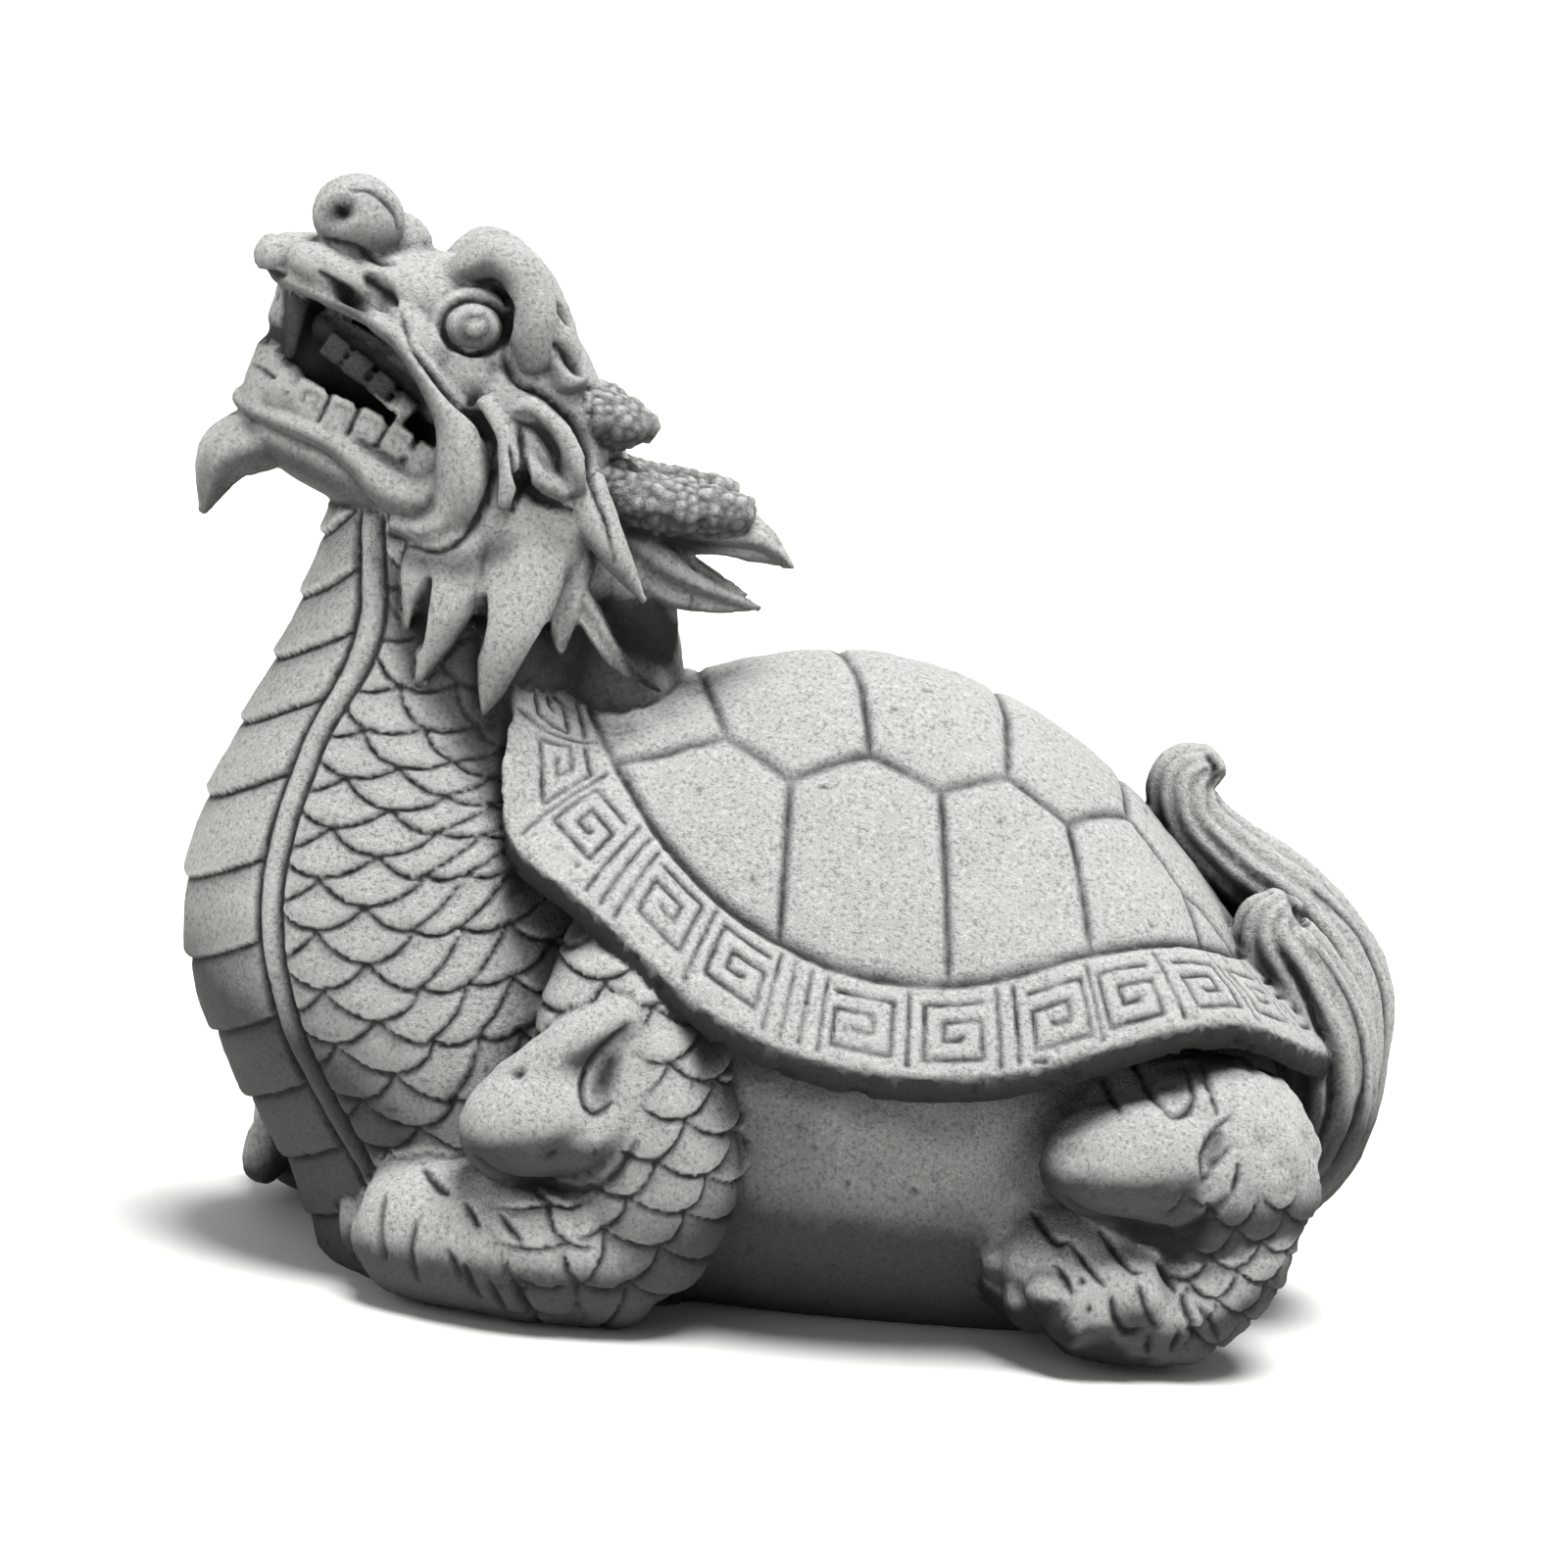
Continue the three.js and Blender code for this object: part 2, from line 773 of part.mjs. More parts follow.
// The solid as a mesh with flat faces.
function geometryOf(whole) {
  const { vertProperties, triVerts, numProp } = whole.getMesh();
  const g = new THREE.BufferGeometry();
  g.setAttribute("position", new THREE.BufferAttribute(vertProperties, numProp));
  g.setIndex(new THREE.BufferAttribute(triVerts, 1));
  g.computeVertexNormals();
  return g;
}

const stone = new THREE.MeshStandardMaterial({
  name: "cast_stone",
  color: 0xb4b4b0,
  roughness: 0.92,
  metalness: 0,
  flatShading: true,
});

const model = new THREE.Group();
const statue = new THREE.Mesh(geometryOf(figure()), stone);
statue.name = "dragon_turtle";
model.add(statue);

export default model;
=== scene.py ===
"""Dragon turtle figure of grey cast stone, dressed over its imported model.

The figure lies on its belly with its head raised. Sizes in the classes are millimetres in the model's
own frame: the head looks along -X, the near side is -Y and the underside lies at Z = 0. Meshes are made
in metres.
"""

import logging
import math
from collections.abc import Sequence
from dataclasses import dataclass, field
from enum import IntEnum

import bmesh
import bpy
import numpy as np
from mathutils import Matrix, Vector
from mathutils.bvhtree import BVHTree
from mathutils.kdtree import KDTree


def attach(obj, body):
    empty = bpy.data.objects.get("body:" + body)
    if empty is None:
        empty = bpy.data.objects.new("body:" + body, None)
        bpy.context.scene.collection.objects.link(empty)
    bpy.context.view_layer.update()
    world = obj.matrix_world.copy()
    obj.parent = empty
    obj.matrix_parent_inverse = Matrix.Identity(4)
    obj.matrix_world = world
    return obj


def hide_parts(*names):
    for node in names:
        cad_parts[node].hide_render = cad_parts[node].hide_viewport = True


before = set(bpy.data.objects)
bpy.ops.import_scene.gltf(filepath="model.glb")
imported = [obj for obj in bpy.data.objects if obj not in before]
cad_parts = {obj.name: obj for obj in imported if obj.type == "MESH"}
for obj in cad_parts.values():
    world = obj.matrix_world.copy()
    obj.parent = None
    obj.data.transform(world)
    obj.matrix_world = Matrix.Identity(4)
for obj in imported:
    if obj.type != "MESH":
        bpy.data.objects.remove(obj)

Array = np.ndarray
Thing = bpy.types.Object
Mesh = bpy.types.Mesh
Tree = bpy.types.NodeTree
Node = bpy.types.Node
Socket = bpy.types.NodeSocket
Row = tuple[float, ...]
Rows = Sequence[Row]
Cut = tuple[Rows, float, float]  # a cut's path, width and depth

MM = 0.001
# Large odd numbers that stir whole numbers, and how many bits are kept.
SEED_STIR = 2654435761
COLUMN_STIRS = (374761393, 668265263, 2246822519)
LAST_STIR = 1274126177
WORD = 0xFFFFFFFF
SHARE = 0xFFFFFF
log = logging.getLogger("dragon_turtle")


class Form(IntEnum):
    """The figure's forms, told apart where the finer carving is cut."""

    BELLY = 0
    NECK = 1
    SHOULDER = 2
    FOREARM = 3
    PAW = 4
    ELBOW = 5
    THIGH = 6
    KNEE = 7
    SHANK = 8
    HIND_TOE = 9
    SHELL = 10
    TAIL = 11
    HEAD = 12
    FOLD = 13
    EYE = 14
    BROW = 15
    EAR = 16
    TOOTH = 17
    MANE = 18
    HORN = 19
    BEARD = 20
    NOSE = 21
    MOUTH = 22
    CHEEK = 23
    WEB = 24


# Curves, noise and profiles


def follow(rows: Rows | Array, share: Array) -> Array:
    """Points on a smooth curve through rows.

    Args:
        rows: the stations, one a row.
        share: how far along the stations, from 0 to 1.

    Returns:
        One interpolated row for each share.
    """
    rows = np.array(rows, float)
    padded = np.vstack([2 * rows[0] - rows[1], rows, 2 * rows[-1] - rows[-2]])
    place = np.clip(share, 0, 1) * (len(rows) - 1)
    low = np.minimum(place.astype(int), len(rows) - 2)
    w = (place - low)[:, None]
    a, b, c, d = (padded[low + k] for k in range(4))
    bend = 2 * a - 5 * b + 4 * c - d
    return 0.5 * (2 * b + (c - a) * w + bend * w**2 + (3 * b - a - 3 * c + d) * w**3)


def station(rows: Rows | Array, position: Array) -> Array:
    """Values at positions between listed stations.

    Args:
        rows: stations of position and values, sorted by position.
        position: where the values are wanted.

    Returns:
        The values, one row for each position.
    """
    rows = np.array(rows, float)
    share = np.interp(position, rows[:, 0], np.linspace(0, 1, len(rows)))
    return follow(rows, share)[:, 1:]


def smooth(low: float, high: float, value: Array) -> Array:
    """A soft step from 0 at low to 1 at high."""
    t = np.clip((value - low) / (high - low), 0, 1)
    return t * t * (3 - 2 * t)


def bump(distance: Array, width: float | Array) -> Array:
    """A rounded profile that is 1 at no distance and falls to 0 at a width."""
    t = np.clip(np.abs(distance) / width, 0, 1)
    return (1 - t * t) ** 2


def chance(cells: Array, seed: int) -> Array:
    """Fixed random numbers.

    Args:
        cells: whole numbers, one row for each number wanted.
        seed: which fixed pattern.

    Returns:
        A number from 0 to 1 for each row.
    """
    mixed = np.full(len(cells), (seed * SEED_STIR + 97) & WORD, np.uint64)
    for column, stir in zip(cells.T, COLUMN_STIRS):
        whole = (column.astype(np.int64) + 100000).astype(np.uint64)
        mixed = (mixed ^ (whole * stir)) & WORD
        mixed = (mixed * LAST_STIR) & WORD
        mixed ^= mixed >> 15
    return (mixed & SHARE).astype(float) / SHARE


def lumps(points: Array, size: float, seed: int) -> Array:
    """Smooth random heights from -1 to 1.

    Args:
        points: places, in as many dimensions as they have columns.
        size: spacing of the lumps.
        seed: which fixed pattern.

    Returns:
        One height for each point.
    """
    place = points / size
    cell = np.floor(place)
    w = place - cell
    w = w * w * (3 - 2 * w)
    total = np.zeros(len(points))
    dimensions = points.shape[1]
    for corner in range(2**dimensions):
        step = np.array([(corner >> k) & 1 for k in range(dimensions)])
        weight = np.prod(np.where(step == 1, w, 1 - w), axis=1)
        total += weight * chance(cell + step, seed)
    return 2 * total - 1


def pebbled(points: Array, size: float, seed: int) -> Array:
    """A surface of close round pebbles.

    Args:
        points: places, in three columns.
        size: spacing of the pebbles.
        seed: which fixed pattern.

    Returns:
        Heights from 0 in the gaps to 1 on the pebbles.
    """
    place = points / size
    cell = np.floor(place)
    first = np.full(len(points), 9.0)
    second = first.copy()
    for step in np.ndindex(3, 3, 3):
        near = cell + np.array(step) - 1
        offset = [0.15 + 0.7 * chance(near, seed + k) for k in range(3)]
        away = np.linalg.norm(near + np.column_stack(offset) - place, axis=1)
        second = np.minimum(second, np.maximum(first, away))
        first = np.minimum(first, away)
    return smooth(0.0, 0.45, second - first)


def near_path(points: Array, path: Array) -> tuple[Array, Array]:
    """How far points in a plane are from a path, and where along it.

    Args:
        points: two columns.
        path: two columns, the path's corners.

    Returns:
        The distance to the path and the length along it at the nearest place.
    """
    best = np.full(len(points), np.inf)
    along = np.zeros(len(points))
    passed = 0.0
    for a, b in zip(path[:-1], path[1:]):
        step = b - a
        length = float(np.hypot(*step))
        share = np.clip((points - a) @ step / max(length**2, 1e-9), 0, 1)
        away = np.hypot(*(points - a - share[:, None] * step).T)
        closer = away < best
        best[closer] = away[closer]
        along[closer] = passed + share[closer] * length
        passed += length
    return best, along


def within(points: Array, outline: Rows, soft: float) -> Array:
    """How deep points in a plane are inside a closed outline.

    Args:
        points: two columns.
        outline: the outline's corners.
        soft: how far inside the edge it reaches its full value.

    Returns:
        0 outside, rising to 1 inside.
    """
    corners = np.array([*outline, outline[0]], float)
    crossings = np.zeros(len(points), int)
    for (ax, ay), (bx, by) in zip(corners[:-1], corners[1:]):
        if ay != by:
            spans = (ay > points[:, 1]) != (by > points[:, 1])
            crossings += spans & (points[:, 0] < ax + (points[:, 1] - ay) * (bx - ax) / (by - ay))
    away, _ = near_path(points, corners)
    return np.where(crossings % 2 == 1, smooth(0, soft, away), 0.0)


# Surfaces


@dataclass
class Skin:
    """A closed surface in millimetres and the form it belongs to."""

    form: Form
    points: Array
    faces: list[tuple[int, ...]]

    def mirrored(self) -> "Skin":
        """The same surface on the figure's other side."""
        return Skin(self.form, self.points * (1, -1, 1), [f[::-1] for f in self.faces])


@dataclass(frozen=True)
class Flutes:
    """Grooves that run along a lock."""

    count: int
    depth: float
    turn: float = 0.0

    def press(self, angle: Array) -> Array:
        """How far the skin is pressed in at angles round the lock."""
        return self.depth * (0.5 + 0.5 * np.cos(self.count * angle + self.turn)) ** 2.2


@dataclass
class Spine:
    """A limb's centre line with its half sizes: rows of x, y, z, depth, width."""

    rows: Rows
    pitch: float = 1.2
    END_ROUNDING = 0.5

    def frames(self) -> tuple[Array, Array, Array, Array, Array, Array]:
        """The line in even steps.

        Returns:
            Centres, tangents, depth directions, side directions, half sizes and lengths along it.
        """
        rough = follow(self.rows, np.linspace(0, 1, 400))[:, :3]
        total = np.linalg.norm(np.diff(rough, axis=0), axis=1).sum()
        share = np.linspace(0, 1, max(4, int(total / self.pitch) + 1))
        values = follow(self.rows, share)
        nudge = 1e-4
        tangent = follow(self.rows, share + nudge)[:, :3] - follow(self.rows, share - nudge)[:, :3]
        tangent /= np.linalg.norm(tangent, axis=1)[:, None]
        side = np.array([0, 1, 0]) - tangent * tangent[:, 1:2]
        side /= np.linalg.norm(side, axis=1)[:, None]
        depth = np.cross(side, tangent)
        steps = np.linalg.norm(np.diff(values[:, :3], axis=0), axis=1)
        return values[:, :3], tangent, depth, side, values[:, 3:5], np.append(0, np.cumsum(steps))

    def place(self, points: Array) -> tuple[Array, Array, Array]:
        """Where points lie on the limb.

        Args:
            points: places in millimetres.

        Returns:
            The length along the limb, the angle round it from its depth direction, and its radius there.
        """
        centre, tangent, depth, side, half, length = self.frames()
        away = ((points[:, None, :] - centre[None]) ** 2).sum(2)
        nearest = away.argmin(1)
        offset = points - centre[nearest]
        angle = np.arctan2((offset * side[nearest]).sum(1), (offset * depth[nearest]).sum(1))
        along = length[nearest] + (offset * tangent[nearest]).sum(1)
        return along, angle, half[nearest].mean(1)

    def skin(self, form: Form, sides: int = 40, power: float = 2.0, flutes: Flutes | None = None) -> Skin:
        """The limb's rounded surface.

        Args:
            form: what the surface belongs to.
            sides: points round a ring.
            power: 2 for an ellipse, more for a squarer ring.
            flutes: grooves along it, if any.

        Returns:
            The closed surface.
        """
        centre, tangent, depth, side, half, length = self.frames()
        angle = np.linspace(0, 2 * math.pi, sides, endpoint=False)
        bend = 2 / power
        c = np.sign(np.cos(angle)) * np.abs(np.cos(angle)) ** bend
        s = np.sign(np.sin(angle)) * np.abs(np.sin(angle)) ** bend
        rings = []
        caps = 4
        for end in (0, -1):
            reach = self.END_ROUNDING * half[end].min()
            sign = -1 if end == 0 else 1
            cap = []
            for k in range(1, caps):
                bow = math.pi / 2 * k / caps
                middle = centre[end] + sign * reach * math.sin(bow) * tangent[end]
                spread = half[end] * math.cos(bow)
                cap.append(middle + np.outer(c * spread[0], depth[end]) + np.outer(s * spread[1], side[end]))
            rings.append((cap, centre[end] + sign * reach * tangent[end]))
        body = []
        total = max(length[-1], 1e-6)
        for i in range(len(centre)):
            press = 0.0
            if flutes:
                fade = min(1.0, 4 * length[i] / total + 0.2)
                press = np.minimum(flutes.press(angle) * fade, 0.35 * half[i].min())
            body.append(
                centre[i]
                + np.outer(c, depth[i]) * np.reshape(half[i, 0] - press, (-1, 1))
                + np.outer(s, side[i]) * np.reshape(half[i, 1] - press, (-1, 1))
            )
        loops = rings[0][0][::-1] + body + rings[1][0]
        return lofted(form, loops, rings[0][1], rings[1][1])


def lofted(form: Form, loops: list[Array], start: Array, end: Array) -> Skin:
    """A closed surface through loops of equal count, with a point at each end.

    Args:
        form: what the surface belongs to.
        loops: rings of points.
        start: the point before the first ring.
        end: the point after the last.

    Returns:
        The surface, its faces outwards.
    """
    count = len(loops[0])
    points = np.vstack([start, *loops, end])
    last = len(points) - 1
    around = np.arange(count)
    after = (around + 1) % count
    faces: list[tuple[int, ...]] = [(0, 1 + int(j), 1 + int(i)) for i, j in zip(around, after)]
    for r in range(len(loops) - 1):
        a = 1 + r * count + around
        b = 1 + r * count + after
        faces += list(map(tuple, np.stack([a, b, b + count, a + count], 1).tolist()))
    base = 1 + (len(loops) - 1) * count
    faces += [(last, base + int(i), base + int(j)) for i, j in zip(around, after)]
    quads = np.array([f[:3] for f in faces])
    corners = points[quads]
    volume = np.einsum("ij,ij->i", corners[:, 0], np.cross(corners[:, 1], corners[:, 2])).sum()
    if volume < 0:
        faces = [f[::-1] for f in faces]
    return Skin(form, points, faces)


def egg(form: Form, centre: Row, halves: Row, tip: float = 0.0, detail: int = 40) -> Skin:
    """A sphere stretched to three half sizes and tipped in the side view.

    Args:
        form: what it belongs to.
        centre: its middle.
        halves: its half sizes along x, y and z before it is tipped.
        tip: degrees that its +x end goes down.
        detail: points round it.

    Returns:
        The closed surface.
    """
    turn = np.linspace(0, 2 * math.pi, detail, endpoint=False)
    loops = []
    for level in np.linspace(0, math.pi, detail // 2 + 1)[1:-1]:
        ring = np.stack([np.sin(level) * np.cos(turn), np.sin(level) * np.sin(turn)], 1)
        loops.append(np.column_stack([ring, np.full(detail, math.cos(level))]))
    t = math.radians(tip)
    spin = np.array([[math.cos(t), 0, math.sin(t)], [0, 1, 0], [-math.sin(t), 0, math.cos(t)]])

    def placed(p: Array) -> Array:
        """Points of the unit sphere, stretched, tipped and moved."""
        return (np.atleast_2d(p) * halves) @ spin.T + centre

    return lofted(form, [placed(r) for r in loops], placed((0, 0, 1)), placed((0, 0, -1)))


def new_object(name: str, data: bpy.types.ID) -> Thing:
    """Links a mesh, curve, light or camera into the scene as an object at the origin."""
    made = bpy.data.objects.new(name, data)
    bpy.context.scene.collection.objects.link(made)
    return made


def object_of(name: str, skins: list[Skin]) -> Thing:
    """One object that holds surfaces as loose closed shells, in metres."""
    points, faces, start = [], [], 0
    for skin in skins:
        points.append(skin.points)
        faces += [tuple(i + start for i in f) for f in skin.faces]
        start += len(skin.points)
    mesh = bpy.data.meshes.new(name)
    mesh.from_pydata((np.vstack(points) * MM).tolist(), [], faces)
    mesh.validate()
    return new_object(name, mesh)


def settled(made: Thing) -> Thing:
    """Turns an object's modifiers into plain mesh."""
    graph = bpy.context.evaluated_depsgraph_get()
    mesh = bpy.data.meshes.new_from_object(made.evaluated_get(graph))
    old = made.data
    made.modifiers.clear()
    made.data = mesh
    if isinstance(old, Mesh):
        bpy.data.meshes.remove(old)
    return made


def points_of(made: Thing) -> Array:
    """A mesh object's vertices in millimetres."""
    flat = np.empty(len(made.data.vertices) * 3, np.float32)
    made.data.vertices.foreach_get("co", flat)
    return flat.reshape(-1, 3).astype(float) / MM


def skin_of(made: Thing, form: Form) -> Skin:
    """A mesh object's closed surface, and the object removed."""
    faces = [tuple(p.vertices) for p in made.data.polygons]
    skin = Skin(form, points_of(made), faces)
    bpy.data.objects.remove(made)
    return skin


def edges_of(mesh: Mesh) -> Array:
    """A mesh's edges, as pairs of vertex numbers."""
    edges = np.empty(len(mesh.edges) * 2, np.int32)
    mesh.edges.foreach_get("vertices", edges)
    return edges.reshape(-1, 2)


def normals_of(mesh: Mesh) -> Array:
    """A mesh's normals at its vertices."""
    flat = np.empty(len(mesh.vertices) * 3, np.float32)
    mesh.vertices.foreach_get("normal", flat)
    return flat.reshape(-1, 3).astype(float)


def note(mesh: Mesh, name: str, values: Array) -> None:
    """Keeps a number for each vertex as a named attribute."""
    layer = mesh.attributes.new(name, "FLOAT", "POINT")
    layer.data.foreach_set("value", values.astype(np.float32))


def averaged(values: Array, edges: Array, rounds: int) -> Array:
    """Values moved towards those of their neighbours.

    Args:
        values: one value or row for each vertex.
        edges: pairs of neighbours.
        rounds: how often each is moved half way to its neighbours' mean.

    Returns:
        The evened values.
    """
    count = len(values)
    degree = np.maximum(np.bincount(edges.ravel(), minlength=count), 1)
    flat = values.reshape(count, -1).copy()
    for _ in range(rounds):
        for k in range(flat.shape[1]):
            column = flat[:, k]
            total = np.bincount(edges[:, 0], column[edges[:, 1]], count)
            total += np.bincount(edges[:, 1], column[edges[:, 0]], count)
            flat[:, k] = 0.5 * column + 0.5 * total / degree
    return flat.reshape(values.shape)


# Carving


@dataclass
class Carving:
    """What is cut into the joined figure: for each point a lift along its normal and a darkening, which is
    painted shade.
    """

    points: Array
    normals: Array
    forms: Array
    lift: Array = field(init=False)
    shade: Array = field(init=False)

    def __post_init__(self) -> None:
        """Starts with nothing cut."""
        self.lift = np.zeros(len(self.points))
        self.shade = np.zeros(len(self.points))

    def pick(self, *forms: Form) -> Array:
        """The numbers of the points on some forms."""
        return np.flatnonzero(np.isin(self.forms, [int(f) for f in forms]))

    def beside(self, where: Array) -> Array:
        """Points with their distance from the middle plane in place of y."""
        p = self.points[where].copy()
        p[:, 1] = np.abs(p[:, 1])
        return p

    def darken(self, where: Array, amount: Array) -> None:
        """Paints shade on the picked points, to at least an amount."""
        self.shade[where] = np.maximum(self.shade[where], amount)


@dataclass(frozen=True)
class Stroke:
    """A line cut or raised on both sides of the figure, laid out in the side view as x, z points."""

    path: Rows
    width: float
    depth: float
    tail: float = 0.35  # the share of its width left at its ends
    near: float = 0.0  # nearest to and furthest from the middle plane that it reaches
    far: float = 99.0
    raised: bool = False

    def cut(self, work: Carving, where: Array, shift: float = 0.0) -> None:
        """Cuts the stroke.

        Args:
            work: what is carved.
            where: the points' numbers.
            shift: how far along the figure it is moved.
        """
        p = work.beside(where)
        p[:, 0] -= shift
        fine = follow(self.path, np.linspace(0, 1, 8 * len(self.path)))
        away, along = near_path(p[:, [0, 2]], fine)
        total = np.hypot(*np.diff(fine, axis=0).T).sum()
        ends = np.sin(math.pi * np.clip(along / total, 0, 1)) ** 0.6
        width = self.width / 2 * (self.tail + (1 - self.tail) * ends)
        reach = bump(away, width * 1.25) * (p[:, 1] > self.near) * (p[:, 1] < self.far)
        if self.raised:
            work.lift[where] += self.depth * reach
        else:
            work.lift[where] -= self.depth * reach * (0.4 + 0.6 * ends)
            # Painted shade in the cut, darker the deeper it is.
            work.darken(where, reach * min(1.0, 0.45 + 0.25 * self.depth))


@dataclass(frozen=True)
class ShadowPatch:
    """A patch of painted shadow on both sides of the figure, outlined in the side view."""

    outline: Rows
    amount: float
    soft: float = 3.0

    def paint_shadow(self, work: Carving, where: Array, shift: float = 0.0) -> None:
        """Paints shadow on the picked points inside the outline, moved a shift along the figure."""
        p = work.beside(where)
        p[:, 0] -= shift
        work.darken(where, self.amount * within(p[:, [0, 2]], self.outline, self.soft))


@dataclass(frozen=True)
class ScaleCoat:
    """Overlapping scales whose tips hang down, half a scale round from row to row."""

    width: float
    pitch: float
    relief: float = 1.6
    groove: float = 1.2
    line: float = 2.0
    hang: float = 0.55  # how far a tip hangs under its row, in rows
    arch: float = 0.95  # how far its shoulders rise over the tip, in rows
    seed: int = 3

    def edge(self, row: Array, across: Array) -> tuple[Array, Array]:
        """A row's scalloped edge.

        Args:
            row: the row's number at each point.
            across: length along the rows, in scales.

        Returns:
            The edge's height, in rows, and how far each point is from its scale's middle.
        """
        slot = across + 0.5 * np.mod(row, 2)
        off = np.abs(np.mod(slot, 1) - 0.5) * 2
        drift = 0.14 * (chance(np.stack([row, np.floor(slot)], 1), self.seed) - 0.5)
        return row - self.hang + self.arch * off**2.1 + drift * (1 - off), off

    def cut(self, work: Carving, where: Array, across: Array, up: Array, strength: Array) -> None:
        """Cuts the scales, with painted shade in their grooves and a soft painted shadow under each tip.

        Args:
            work: what is carved.
            where: the points' numbers.
            across: length along the rows.
            up: length towards the scales' roots.
            strength: how much of the relief each point takes, 0 to 1.
        """
        u, v = across / self.width, up / self.pitch
        wander = np.stack([u, v], 1)
        u = u + 0.07 * lumps(wander, 2.3, self.seed + 1)
        v = v + 0.16 * lumps(wander, 2.7, self.seed + 2)
        base = np.floor(v)
        inside = np.full(len(u), np.nan)
        gap = np.full(len(u), 9.0)
        middle = np.zeros(len(u))
        for step in (2, 1, 0, -1):
            edge, off = self.edge(base + step, u)
            covers = (v >= edge) & np.isnan(inside)
            inside[covers] = (v - edge)[covers]
            under = (v < edge) & np.isnan(inside)
            closer = under & (edge - v < gap)
            gap[closer] = (edge - v)[closer]
            middle[closer] = off[closer]
        inside = np.nan_to_num(inside, nan=1.0)
        thick = self.line * (1 - 0.5 * middle**2)
        groove = bump(gap * self.pitch, thick)
        roll = bump(inside * self.pitch, 0.8)
        body = self.relief * (0.9 - 0.8 * np.clip(inside / 2.0, 0, 1)) - 0.3 * roll
        work.lift[where] += strength * (body - self.groove * groove)
        # Painted shade in each groove and a soft painted shadow under each scale's tip.
        under = np.maximum(groove, 0.4 * bump(gap * self.pitch, 4.2))
        work.darken(where, strength * under)


class Part:
    """A sub-assembly: what it adds to the figure and what it cuts."""

    def masses(self) -> list[Skin]:
        """Masses that run into one another."""
        return []

    def details(self) -> list[Skin]:
        """Features that stand on the masses."""
        return []

    def carve(self, work: Carving) -> None:
        """Cuts the part's own points and paints shade on them."""


# Neck and breast


